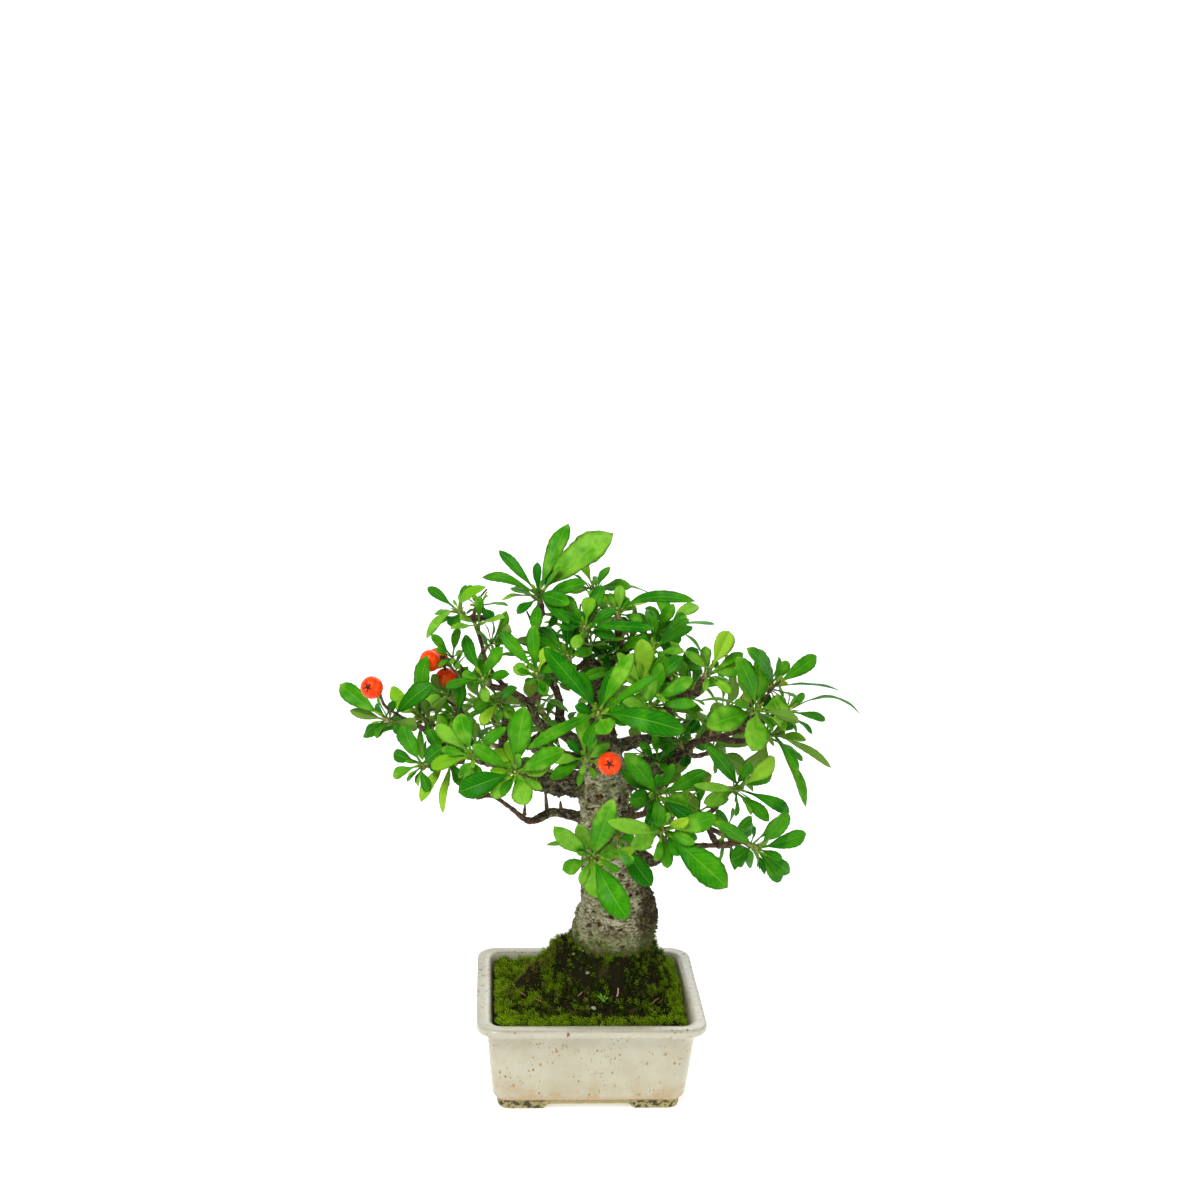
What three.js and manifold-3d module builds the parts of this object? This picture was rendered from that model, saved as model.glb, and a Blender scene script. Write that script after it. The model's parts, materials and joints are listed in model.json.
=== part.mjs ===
// Narrowleaf firethorn bonsai in its glazed rectangular pot.
// Millimetres, +Z up, the viewer looks from -Y. The pot stands on z = 0, its middle at x = y = 0.
import * as THREE from "three";
import { mergeVertices } from "three/addons/utils/BufferGeometryUtils.js";
import Module from "manifold-3d";

const wasm = await Module();
wasm.setup();

// Driving dimensions of the pot.
const POT_WIDTH = 86;
const POT_DEPTH = 68.8;
const POT_HEIGHT = 37;
const RIM_CORNER = 8;
const RIM_WIDTH = 5.5; // flat top of the rim
const RIM_FACE = 2.5; // upright face of the rim
const RIM_OVERHANG = 3.9; // how far the rim stands out over the wall
const WALL_TAPER = 2.6; // each wall leans in by this much down to the base
const BASE_Z = 4.4; // underside of the wall
const FLOOR_Z = 8.2; // inside floor
const FOOT_INSET = 2.2;
const FOOT_RING = 7; // width of the ring that the feet are cut from
const FOOT_LENGTH = 17.5; // length of a foot along the pot's long side
const ARCH_HEIGHT = 2.4; // clearance between the feet
const DRAIN_RADIUS = 5;
const FIT = 0.35; // clearance between pieces that touch

// Driving dimensions of what fills the pot.
const MOSS_LEVEL = 34.8; // moss height along the pot wall
const MOSS_THICKNESS = 1.9;
const MOUND_HEIGHT = 19.5; // rise of the moss up to the trunk
const MOUND_REACH = 8;
const WALL_LIP = 1.5; // how far the moss may rise over its level at the wall
const WALL_SLOPE = 2; // and how steeply it may rise from there
const TRUNK_X = 8.3;
const TRUNK_Y = 7;
const COLLAR_RADIUS = 15; // trunk at the moss
const COLLAR_BOTTOM = 20;
const COLLAR_TOP = 57;
const SPOKES = 28; // facets round the trunk collar, the soil and the moss
const SHOULDER_RADIUS = 14.6; // the collar closes into the trunk a little above the moss
const SHOULDER_RISE = 3;
const TRUNK_SIDES = 16;
const TRUNK_STEPS = 13;
const TRUNK_KNOBS = 0.07; // depth of the knobs, as a share of the radius
const LIMB_KNOBS = 0.1;
const THICK_LIMB = 2.9; // a branch that starts thicker than this has seven sides instead of five

// Driving dimensions of the leaves, shoots and berries.
const BLADE_THICKNESS = 0.7;
const PETIOLE_HALF_WIDTH = 0.6;
const LONGEST_LEAF = 34;
const SHOOT_RADIUS = 1.15;
const SHOOT_DEPTH = 3.2; // a shoot's length below its bud
const LEAF_SPREAD = 62; // usual angle between a leaf and its shoot, degrees
const LEAN_STEP = 6; // a leaf that would cross something is bent by steps of this many degrees
const LEAN_STEPS = 8;
const EDGE_TILT = 0.3; // share by which a leaf seen edge-on still turns its face to the viewer
const BERRY_RADIUS = 4;

// The eye from which every place below was read. A place is [x, z, y]: x and z are where the line of
// sight through it crosses the upright plane through the pot's middle, and y is its own depth.
const EYE = new THREE.Vector3(-45, -567.5, 336.2);
const HEART = new THREE.Vector3(2, 2, 120); // middle of the crown's foot, from which the shoots point away

function seen([x, z, y]) {
  return new THREE.Vector3(x, 0, z).sub(EYE).multiplyScalar((y - EYE.y) / -EYE.y).add(EYE);
}

// Solids

function solid(points, faces) {
  const geometry = new THREE.BufferGeometry();
  const places = points.flatMap((p) => [p.x, p.y, p.z]);
  geometry.setAttribute("position", new THREE.Float32BufferAttribute(places, 3));
  geometry.setIndex(faces);
  return solidOf(geometry);
}

function solidOf(geometry) {
  geometry.deleteAttribute("normal");
  geometry.deleteAttribute("uv");
  const merged = mergeVertices(geometry, 1e-4);
  return new wasm.Manifold(
    new wasm.Mesh({
      numProp: 3,
      vertProperties: new Float32Array(merged.attributes.position.array),
      triVerts: new Uint32Array(merged.index.array),
    }),
  );
}

function geometryOf(manifold) {
  const mesh = manifold.getMesh();
  const geometry = new THREE.BufferGeometry();
  geometry.setAttribute("position", new THREE.BufferAttribute(new Float32Array(mesh.vertProperties), 3));
  geometry.setIndex(new THREE.BufferAttribute(new Uint32Array(mesh.triVerts), 1));
  geometry.computeVertexNormals();
  return geometry;
}

// Closed solid from loops of equally many points, each loop anticlockwise seen from where the next lies.
// With round = true the last loop joins the first, otherwise both ends are closed by a fan. Rows
// for which mirrored is true have their squares split along the other diagonal.
function lofted(loops, round = false, mirrored = () => false) {
  const n = loops[0].length;
  const points = loops.flat();
  const faces = [];
  const rows = round ? loops.length : loops.length - 1;
  for (let row = 0; row < rows; row++) {
    const a = row * n;
    const b = ((row + 1) % loops.length) * n;
    for (let i = 0; i < n; i++) {
      const j = (i + 1) % n;
      if (mirrored(row)) faces.push(a + i, a + j, b + i, a + j, b + j, b + i);
      else faces.push(a + i, a + j, b + j, a + i, b + j, b + i);
    }
  }
  if (!round) {
    const last = (loops.length - 1) * n;
    points.push(middleOf(loops[0]), middleOf(loops.at(-1)));
    for (let i = 0; i < n; i++) {
      const j = (i + 1) % n;
      faces.push(points.length - 2, j, i, points.length - 1, last + i, last + j);
    }
  }
  return solid(points, faces);
}

function middleOf(loop) {
  return loop.reduce((sum, p) => sum.add(p), new THREE.Vector3()).divideScalar(loop.length);
}

function box(width, depth, height, x, y, z) {
  return solidOf(new THREE.BoxGeometry(width, depth, height).translate(x, y, z + height / 2));
}

function disc(radius, height, sides, x, y, z) {
  const geometry = new THREE.CylinderGeometry(radius, radius, height, sides);
  return solidOf(geometry.rotateX(Math.PI / 2).translate(x, y, z + height / 2));
}

// Pot

const INNER_WIDTH = POT_WIDTH - 2 * RIM_WIDTH;
const INNER_DEPTH = POT_DEPTH - 2 * RIM_WIDTH;
const INNER_TAPER = 5.5; // the inside is narrower by this much each side at the floor

function roundedLoop(width, depth, radius, z) {
  const points = [];
  const perCorner = 3;
  for (let corner = 0; corner < 4; corner++) {
    const sx = corner === 0 || corner === 3 ? 1 : -1;
    const sy = corner < 2 ? 1 : -1;
    for (let k = 0; k <= perCorner; k++) {
      const angle = ((corner + k / perCorner) * Math.PI) / 2;
      const x = sx * (width / 2 - radius) + radius * Math.cos(angle);
      const y = sy * (depth / 2 - radius) + radius * Math.sin(angle);
      points.push(new THREE.Vector3(x, y, z));
    }
  }
  return points;
}

function pot() {
  const wall = (inset, z, radius) => roundedLoop(POT_WIDTH - 2 * inset, POT_DEPTH - 2 * inset, radius, z);
  const bottomInset = RIM_OVERHANG + WALL_TAPER;
  const body = lofted([
    wall(bottomInset + 1, BASE_Z, 5),
    wall(bottomInset, BASE_Z + 1.6, 6),
    wall(RIM_OVERHANG + WALL_TAPER * 0.45, 20, 6.5),
    wall(RIM_OVERHANG, POT_HEIGHT - RIM_FACE - 2.4, 6.5),
    wall(RIM_OVERHANG - 1.2, POT_HEIGHT - RIM_FACE - 1.6, 7),
    wall(0.5, POT_HEIGHT - RIM_FACE - 0.4, RIM_CORNER),
    wall(0, POT_HEIGHT - RIM_FACE + 0.4, RIM_CORNER),
    wall(0, POT_HEIGHT - 0.6, RIM_CORNER),
    wall(0.7, POT_HEIGHT, RIM_CORNER - 0.6),
    wall(RIM_WIDTH - 0.6, POT_HEIGHT, 4.4),
    wall(RIM_WIDTH, POT_HEIGHT - 0.8, 4),
    wall(RIM_WIDTH + INNER_TAPER, FLOOR_Z + 2, 4),
    wall(RIM_WIDTH + INNER_TAPER + 2, FLOOR_Z, 3),
  ]);
  const ringInset = bottomInset + FOOT_INSET;
  const ringWidth = POT_WIDTH - 2 * ringInset;
  const ringDepth = POT_DEPTH - 2 * ringInset;
  const ring = lofted([
    roundedLoop(ringWidth - 1, ringDepth - 1, 4, 0),
    roundedLoop(ringWidth, ringDepth, 4.5, 0.6),
    roundedLoop(ringWidth + 0.8, ringDepth + 0.8, 5, BASE_Z + 0.5),
  ]);
  const inside = box(ringWidth - 2 * FOOT_RING, ringDepth - 2 * FOOT_RING, ARCH_HEIGHT + 1, 0, 0, -1);
  const longArch = archCut(ringWidth - 2 * FOOT_LENGTH, ringDepth + 10, 0);
  const shortArch = archCut(ringDepth - 2 * (FOOT_LENGTH - 2), ringWidth + 10, Math.PI / 2);
  const drain = disc(DRAIN_RADIUS, FLOOR_Z + 2, 20, 0, 0, -1);
  return body.add(ring).subtract(inside).subtract(longArch).subtract(shortArch).subtract(drain);
}

// Low arch through the foot ring, with sloped ends.
function archCut(span, through, turn) {
  const outline = new THREE.Shape();
  outline.moveTo(-span / 2 - 1, -1);
  outline.lineTo(span / 2 + 1, -1);
  outline.lineTo(span / 2, 0.6);
  outline.lineTo(span / 2 - 3, ARCH_HEIGHT);
  outline.lineTo(-span / 2 + 3, ARCH_HEIGHT);
  outline.lineTo(-span / 2, 0.6);
  const geometry = new THREE.ExtrudeGeometry(outline, { depth: through, bevelEnabled: false });
  geometry.translate(0, 0, -through / 2).rotateX(Math.PI / 2).rotateZ(turn);
  return solidOf(geometry);
}

// Plastic mesh that keeps the soil in over the drain hole
const MESH_SIZE = 16;
const MESH_THICKNESS = 0.8;

function drainMesh() {
  const z = FLOOR_Z + FIT;
  let plate = box(MESH_SIZE, MESH_SIZE, MESH_THICKNESS, 0, 0, z);
  for (const x of [-3.2, 3.2]) {
    for (const y of [-3.2, 3.2]) plate = plate.subtract(box(4.4, 4.4, 3, x, y, z - 1));
  }
  return plate;
}

// Soil and moss

const spokes = Array.from({ length: SPOKES }, (_, k) => {
  const angle = (k * 2 * Math.PI) / SPOKES;
  return new THREE.Vector2(Math.cos(angle), Math.sin(angle));
});

// How far a place lies past the inner wall of the pot at height z; negative inside.
function pastWall(x, y, z) {
  const share = Math.max(0, (POT_HEIGHT - 0.8 - z) / (POT_HEIGHT - 0.8 - FLOOR_Z - 2));
  const inset = INNER_TAPER * share + FIT * 1.3;
  const radius = 4;
  const dx = Math.abs(x) - (INNER_WIDTH / 2 - inset - radius);
  const dy = Math.abs(y) - (INNER_DEPTH / 2 - inset - radius);
  return Math.hypot(Math.max(dx, 0), Math.max(dy, 0)) + Math.min(Math.max(dx, dy), 0) - radius;
}

// Distance along a spoke from the trunk's middle to the inner wall of the pot at height z.
function reach(spoke, z) {
  let along = 0;
  for (let step = 0; step < 60; step++) {
    along -= pastWall(TRUNK_X + spoke.x * along, TRUNK_Y + spoke.y * along, z);
  }
  return along;
}

// Height of a mossy root that runs from the trunk down to the pot wall.
function rootCrest(x, y, from, to, falloff) {
  const ax = to[0] - from[0];
  const ay = to[1] - from[1];
  const share = THREE.MathUtils.clamp(((x - from[0]) * ax + (y - from[1]) * ay) / (ax * ax + ay * ay), 0, 1);
  const aside = Math.hypot(x - from[0] - ax * share, y - from[1] - ay * share);
  return from[2] + (to[2] - from[2]) * share ** 0.85 - falloff * aside;
}

const ROOTS = [
  { from: [-10.5, 5, 58], to: [-36, -7, 35], falloff: 1.25 },
  { from: [22, 6, 54], to: [35, -7, 35], falloff: 1.3 },
  { from: [0, -6, 55], to: [-3, -22, 35], falloff: 1.5 },
  { from: [14, 20, 54], to: [26, 27, 35], falloff: 1.3 },
];

function mossHeight(x, y) {
  const away = Math.max(0, Math.hypot(x - TRUNK_X, y - TRUNK_Y) - COLLAR_RADIUS);
  const mound = MOSS_LEVEL + MOUND_HEIGHT * Math.exp(-((away / MOUND_REACH) ** 2));
  const tufts = 0.45 * Math.sin(x * 0.55 + 1) * Math.sin(y * 0.6) + 0.3 * Math.sin(x * 1.1 + y * 0.9);
  const crests = ROOTS.map((root) => rootCrest(x, y, root.from, root.to, root.falloff));
  const nearWall = Math.min(1, away / 6);
  const roof = MOSS_LEVEL + WALL_LIP - WALL_SLOPE * pastWall(x, y, MOSS_LEVEL - 3);
  return Math.min(Math.max(mound, ...crests), roof) + tufts * nearWall;
}

const HOLE_RADIUS = COLLAR_RADIUS + FIT;

function groundLoop(share, drop) {
  return spokes.map((spoke) => {
    const along = lerp(HOLE_RADIUS, reach(spoke, MOSS_LEVEL - 3), share);
    const x = TRUNK_X + spoke.x * along;
    const y = TRUNK_Y + spoke.y * along;
    return new THREE.Vector3(x, y, mossHeight(x, y) - drop);
  });
}

function spokeLoop(along, z) {
  return spokes.map((spoke) => {
    const far = along(spoke);
    return new THREE.Vector3(TRUNK_X + spoke.x * far, TRUNK_Y + spoke.y * far, z);
  });
}

const GROUND_SHARES = [0, 0.2, 0.44, 0.72, 1];

function moss() {
  const under = GROUND_SHARES.map((share) => groundLoop(share, MOSS_THICKNESS));
  const over = GROUND_SHARES.map((share) => groundLoop(share, 0)).reverse();
  return lofted([...under, ...over], true, (row) => row >= under.length);
}

function soil() {
  const bottom = FLOOR_Z + FIT;
  const drop = MOSS_THICKNESS + FIT;
  const over = GROUND_SHARES.map((share) => groundLoop(share, drop)).reverse();
  const body = lofted([
    spokeLoop((spoke) => reach(spoke, FLOOR_Z + 2) - 2.6, bottom),
    spokeLoop((spoke) => reach(spoke, FLOOR_Z + 2) - 0.3, bottom + 2.4),
    ...over,
    spokeLoop(() => HOLE_RADIUS, COLLAR_BOTTOM - FIT),
  ], false, () => true);
  const meshPocket = MESH_SIZE + 2 * FIT;
  return body.subtract(box(meshPocket, meshPocket, MESH_THICKNESS + 2 * FIT, 0, 0, FLOOR_Z));
}

// Wood

// A limb follows a smooth curve through its points, from one radius to the other, with knobs by a formula.
function limb(points, radii, sides, rings, knobs = 0) {
  const curve = new THREE.CatmullRomCurve3(points);
  const loops = [];
  let side = new THREE.Vector3(1, 0, 0);
  for (let k = 0; k <= rings; k++) {
    const share = k / rings;
    const centre = curve.getPointAt(share);
    const along = curve.getTangentAt(share);
    side = side.clone().addScaledVector(along, -side.dot(along));
    if (side.length() < 0.1) side.set(along.y, along.z, along.x).cross(along);
    side.normalize();
    const other = along.clone().cross(side);
    const radius = radiusAt(radii, share);
    loops.push(
      Array.from({ length: sides }, (_, i) => {
        const angle = (i * 2 * Math.PI) / sides;
        const place = centre
          .clone()
          .addScaledVector(side, radius * Math.cos(angle))
          .addScaledVector(other, radius * Math.sin(angle));
        const bump = 1 + knobs * knob(place, radius);
        return place.sub(centre).multiplyScalar(bump).add(centre);
      }),
    );
  }
  return lofted(loops);
}

function lerp(from, to, share) {
  return from + (to - from) * share;
}

// Radius from a list of radii spread evenly along the limb.
function radiusAt(radii, share) {
  const place = share * (radii.length - 1);
  const below = Math.min(radii.length - 2, Math.floor(place));
  return lerp(radii[below], radii[below + 1], place - below);
}

function knob(place, radius) {
  const pitch = 2.2 / Math.max(1.5, radius * 0.45);
  return Math.sin(place.x * pitch + place.z) * Math.sin(place.y * pitch + 1) * Math.sin(place.z * pitch);
}

// Trunk, read as middle line and radius from the moss up to where the crown begins.
const TRUNK_LINE = [
  [9, 62, 7], [10.2, 68, 7], [9.7, 75, 6], [8, 80, 5], [6.8, 90, 3], [4.5, 100, 1],
  [3.4, 110, 0], [3.4, 117, -1], [2.6, 125, -1], [2, 134, 0], [1, 146, 2], [-2, 160, 4],
];
const TRUNK_RADII = [15.8, 15.4, 13.4, 12.3, 11.2, 9.6, 8.9, 9.6, 8.6, 6.2, 4.2, 2.6];

// Each branch: its points, and its radii spread evenly along it.
const BRANCHES = {
  dead_low_left: { line: [[-3, 107, 0], [-16, 109, -4], [-24, 105.5, -8], [-32.5, 111.5, -10],
    [-38.8, 115.3, -12], [-44.5, 114.3, -13]], radii: [2.3, 1.9, 1.7, 0.95, 0.75, 0.5] },
  big_left: { line: [[1, 121, -1], [-10, 121, -3], [-20, 121.5, -4], [-28, 126, -4], [-35, 136, -3],
    [-34.3, 143, -3], [-35.2, 149, -4]], radii: [5, 4.4, 4.1, 3.3, 2.3, 1.4, 1] },
  left_out: { line: [[-28, 126, -4], [-40, 129, -6], [-50, 132, -8], [-58, 137, -9], [-63.5, 141, -10],
    [-69, 144, -11]], radii: [2.4, 2, 1.7, 1.4, 1.1, 0.9] },
  berry_twig: { line: [[-50, 132, -8], [-52.8, 140, 0], [-51.8, 149.5, 3], [-50.5, 158, 4],
    [-50.8, 165.5, 4], [-57, 168.6, 3]], radii: [1.3, 1.1, 0.9, 0.75, 0.6, 0.5] },
  centre_left: { line: [[2, 133, 0], [-5, 135, -2], [-13.5, 141, -6], [-22, 144.5, -9], [-26, 152, -12],
    [-34.5, 157.8, -13]], radii: [3.2, 2.7, 2.1, 1.8, 1.4, 1.1] },
  left_leader: { line: [[-13.5, 141, -6], [-15.5, 156, -4], [-20, 165, -2], [-22.5, 172.5, 0],
    [-24, 180, 0], [-22, 185.5, 0]], radii: [1.9, 1.6, 1.4, 1.3, 1.1, 0.9] },
  long_twig: { line: [[-34.5, 157.8, -13], [-41, 166, -8], [-44, 176, -5], [-46.8, 184, -3]],
    radii: [1, 0.85, 0.75, 0.7] },
  apex: { line: [[-2, 158, 4], [0, 163.5, 2], [-4, 169, -2], [-8, 174.5, -8]], radii: [2.6, 2, 1.7, 1.3] },
  apex_right: { line: [[0, 163.5, 2], [6.8, 172, 0], [6.5, 179, -3]], radii: [1.7, 1.4, 1.1] },
  apex_far_right: { line: [[6.8, 172, 0], [14, 175, 4], [19, 178, 5]], radii: [1.2, 1, 0.85] },
  right_upper: { line: [[4, 134, 0], [12, 137, 2], [20, 139, 4], [26.5, 142, 5], [25.6, 150, 2],
    [27, 154.5, -2], [31, 156.5, -6], [36, 156.5, -9]], radii: [3.2, 2.6, 2.2, 1.9, 1.6, 1.4, 1.25, 1.1] },
  right_out: { line: [[6, 121, -1], [14, 121, -2], [22.5, 126, -4], [29, 130, -5], [36, 137, -6],
    [45, 139.5, -8], [53, 142.3, -10]], radii: [3.4, 2.6, 2, 1.7, 1.4, 1.1, 0.9] },
  right_low: { line: [[12, 92, 2], [19, 92, -2], [23, 89.5, -8], [30.5, 95, -16], [47.5, 96.3, -24]],
    radii: [2.4, 1.9, 1.6, 1.2, 0.85] },
  right_mid: { line: [[30.5, 95, -16], [32, 102.5, -18], [45, 110.5, -22]], radii: [1.1, 1, 0.85] },
  front_mid: { line: [[8, 108, 0], [15, 108, -12], [19.5, 109, -22]], radii: [2, 1.3, 1.05] },
  front_up: { line: [[2, 134, 0], [2, 137, -20], [1, 144, -38]], radii: [3, 1.8, 1.2] },
  front_low: { line: [[5, 97, 1], [5, 95, -12], [3.4, 93.6, -25]], radii: [2.6, 1.5, 1.1] },
  front_left: { line: [[-20, 121.5, -4], [-23, 123, -16], [-26, 123.5, -28]], radii: [2, 1.4, 1.1] },
  back_left: { line: [[0, 128, 2], [-12, 131, 16], [-26, 136, 28], [-38, 144, 38]],
    radii: [3.6, 2.6, 1.9, 1.3] },
  back_right: { line: [[5, 126, 2], [18, 129, 16], [32, 135, 28], [44, 142, 36]],
    radii: [3.6, 2.6, 1.9, 1.3] },
  back_middle: { line: [[1, 138, 1], [2, 146, 14], [0, 155, 26], [-3, 164, 34]],
    radii: [3, 2.2, 1.7, 1.2] },
  back_low: { line: [[6, 108, 3], [14, 111, 18], [22, 116, 30]], radii: [2.8, 2, 1.3] },
};

// Dead stubs, thorns and spurs: a short pointed piece from one place to another.
const STUBS = [
  { line: [[-38.8, 115.3, -12], [-41.7, 117.9, -12]], radius: 0.7 },
  { line: [[-38.8, 115.3, -12], [-45, 117.3, -11]], radius: 0.7 },
  { line: [[-26.3, 108, -8.5], [-26.2, 112.5, -9]], radius: 0.8 },
  { line: [[-17.8, 108.6, -4.5], [-19, 120, -7]], radius: 0.9 },
  { line: [[-12.5, 108.6, -3], [-13, 113.5, -5]], radius: 1 },
  { line: [[-35.2, 149, -4], [-40, 154, -6]], radius: 0.8 },
  { line: [[-24, 180, 0], [-27.5, 187, 1]], radius: 0.8 },
  { line: [[-46.8, 184, -3], [-45.2, 190.5, 1], [-42, 195, 3]], radius: 0.75 },
  { line: [[-51.8, 149.5, 3], [-58.3, 154.5, 2]], radius: 0.75 },
  { line: [[-52.5, 133.5, -8], [-53.5, 125, -9]], radius: 0.9 },
  { line: [[26.5, 142, 5], [34, 146, 8]], radius: 0.9 },
  { line: [[26.8, 92.4, -12], [27.5, 101, -13]], radius: 1 },
  { line: [[-8, 174.5, -8], [-8.4, 180.5, -4], [-8, 190, -1]], radius: 0.8 },
  { line: [[6.5, 179, -3], [1.5, 186, 1], [-1.5, 190.5, 2]], radius: 0.75 },
  { line: [[53, 142.3, -10], [57.6, 147, -11], [63, 157, -9], [68.5, 163, -9]], radius: 0.8 },
];

// Leaves

// Colours of the sprays.
const LEAF_GREEN = 0x3f8f22;

// Each spray of leaves: bud place; the branch and the number of its point that the shoot grows from;
// the leaves as [x, z, width, kind] of their tips. Kinds: e is seen edge-on, p shows its pale underside,
// f comes towards the viewer, a arches over. A bare spray has no leaves on its far side.
const SPRAYS = [
  { name: "leaves_front_star", bud: [0, 148.5, -48], branch: "front_up", at: 2, leaves: [[-21, 173.5, 6.5],
    [12, 172, 6], [33.3, 141.6, 9, "a"], [4.2, 140.5, 8.5, "f"], [-25.6, 134.8, 4.5], [22, 164.2, 3.5],
    [7.5, 154.5, 4], [-8.8, 151.2, 4], [-9, 142.7, 3.5, "e"], [12.5, 145, 4.5]] },
  { name: "leaves_front_low", bare: true, bud: [-0.4, 91.3, -38], branch: "front_low", at: 2,
    leaves: [[14, 65.5, 10.5, "f"], [2.5, 74.3, 8.5], [6.5, 114, 8.5], [-15.1, 103.5, 7], [-11.5, 85.8, 6],
    [-17.8, 96.8, 4, "e"], [-6, 104, 6]] },
  { name: "leaves_front_low_right", bare: true, bud: [9, 98.5, -28], branch: "front_low", at: 2,
    leaves: [[22.9, 79.2, 8], [14.5, 90, 8, "f"], [15, 99.5, 5], [9, 106, 4]] },
  { name: "leaves_right_low_front", bud: [26.3, 102, -45], branch: "right_low", at: 3,
    leaves: [[52.5, 78.8, 11], [46.4, 108, 7.5], [5.1, 105.6, 5.5], [14.5, 95.5, 6.5], [24.5, 109, 4, "e"],
    [34, 92, 6]] },
  { name: "leaves_left_front", bud: [-30, 125, -42], branch: "front_left", at: 2,
    leaves: [[-27.3, 150.8, 8.8], [-51.4, 116.6, 9], [-12, 134, 7], [-39, 115.2, 6.5], [-25.3, 112.2, 8],
    [-17, 127.5, 6]] },
  { name: "leaves_left_front_outer", bud: [-45.7, 131.3, -34], branch: "left_out", at: 1,
    leaves: [[-51, 147.7, 8], [-45.4, 120, 8, "f"], [-57.7, 133.7, 4], [-34, 142.5, 4], [-31, 131, 6],
    [-50.5, 123.5, 4]] },
  { name: "leaves_right_middle_front", bud: [23.8, 116, -35], branch: "front_mid", at: 2,
    leaves: [[10.4, 133, 7.5], [41.3, 126.3, 6], [35.2, 112, 7], [12.8, 114.5, 7], [9.5, 126, 5],
    [29, 129, 4], [24, 103.5, 6, "f"]] },
  { name: "leaves_right_middle", bud: [54, 119, -25], branch: "right_mid", at: 2,
    leaves: [[42, 135.5, 5.5], [67.5, 132.1, 7], [74.5, 109.6, 5, "a"], [41.5, 113.3, 6], [66.9, 106.2, 5],
    [37, 120.5, 3.5], [58, 130, 5]] },
  { name: "leaves_right_low", bare: true, bud: [62, 95.5, -30], branch: "right_low", at: 4,
    leaves: [[73.4, 110.3, 8], [81.2, 101.4, 6.5], [76.5, 84.6, 5.5], [72.7, 81.6, 6], [46.1, 105.8, 5],
    [53, 90, 8, "f"]] },
  { name: "leaves_right_low_inner", bud: [51, 100, -12], branch: "right_low", at: 4,
    leaves: [[59.9, 108.2, 4.5], [54.5, 86, 4.5], [46, 111, 4]] },
  { name: "leaves_far_left", bare: true, bud: [-78, 145, -12], branch: "left_out", at: 5,
    leaves: [[-95.4, 158.7, 7], [-61, 159.4, 8], [-66, 142.5, 5, "p"], [-91.3, 148.2, 4, "p"],
    [-74.5, 152, 3.5], [-81.3, 137.5, 3.5]] },
  { name: "leaves_left_upright", bud: [-65.5, 145.5, -4], branch: "left_out", at: 4,
    leaves: [[-63.3, 169.7, 7.5], [-74, 152.5, 6], [-87.3, 138, 4], [-60.3, 150, 3.5, "p"],
    [-64.5, 129.3, 4]] },
  { name: "leaves_left_low", bare: true, bud: [-65, 127.5, -22], branch: "left_out", at: 3,
    leaves: [[-72, 143, 8.5], [-76, 122.8, 4.5], [-57, 134.5, 6], [-75.5, 132, 5], [-62, 117, 4]] },
  { name: "leaves_left_hanging", bare: true, bud: [-55, 129.5, -18], branch: "left_out", at: 2,
    leaves: [[-65.2, 113, 5], [-57, 108.5, 3.5], [-62.4, 141.6, 5], [-54, 143, 4, "e"], [-48, 119, 5]] },
  { name: "leaves_left_behind", bud: [-53.3, 147, 10], branch: "berry_twig", at: 2, leaves: [[-64, 156, 7],
    [-48.5, 165.8, 8], [-62, 148.2, 4, "e"], [-55, 164, 5.5]] },
  { name: "leaves_left_middle", bud: [-36.5, 152.5, -8], branch: "big_left", at: 6,
    leaves: [[-46.5, 150, 5.5], [-43, 143, 5], [-31.5, 146, 5], [-30.5, 158, 4]] },
  { name: "leaves_left_upper", bud: [-42.5, 161, -14], branch: "centre_left", at: 5,
    leaves: [[-35.7, 173.3, 5.5], [-56.6, 157.6, 4], [-50.8, 163, 4], [-41.3, 152, 4], [-33, 163, 4]] },
  { name: "leaves_left_inner_front", bud: [-23, 163, -25], branch: "centre_left", at: 4,
    leaves: [[-37, 179.5, 5], [-32, 166, 5], [-15.5, 166.5, 4], [-19, 174, 4.5], [-19.5, 155, 4.5]] },
  { name: "leaves_top_left", bare: true, bud: [-52, 187, -5], branch: "long_twig", at: 3,
    leaves: [[-63.5, 195.5, 3.8], [-63.8, 176.2, 3.5, "a"], [-42.5, 196, 4.2, "a"], [-54.5, 180.5, 5.5],
    [-61, 185.3, 4, "e"]] },
  { name: "leaves_top_left_inner", bare: true, bud: [-45, 189.5, 4], branch: "long_twig", at: 3,
    leaves: [[-34, 189, 4, "e"], [-39.5, 183.5, 4], [-49.6, 196, 4.2]] },
  { name: "leaves_crown", bare: true, bud: [-23.5, 193, 0], branch: "left_leader", at: 5,
    leaves: [[-13.3, 219.8, 7.3], [3, 216.5, 13], [-38, 209.5, 4.2], [-44, 199.5, 4.5, "a"],
    [-5.9, 198, 6], [-12, 190, 6.5], [-17, 204, 4], [-37, 191, 4, "e"], [-31, 186, 4], [-12, 183, 4.5],
    [-24, 180, 5, "f"]] },
  { name: "leaves_crown_right", bare: true, bud: [-3, 195.5, 14], branch: "apex", at: 3,
    leaves: [[-10.3, 208.8, 4.2], [10, 197, 6], [11, 188.5, 6], [17.5, 195.2, 4, "e"], [-14, 195, 5]] },
  { name: "leaves_top_front", bud: [-6.2, 181, -18], branch: "apex", at: 3, leaves: [[-17, 188.2, 4.2],
    [-4.5, 193, 5.5], [5, 188.5, 4.5], [20, 181, 4.5], [-15.5, 181, 4], [-10, 173, 5, "f"],
    [5, 178, 4.5]] },
  { name: "leaves_top_middle", bud: [6, 187, -5], branch: "apex_right", at: 2,
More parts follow.
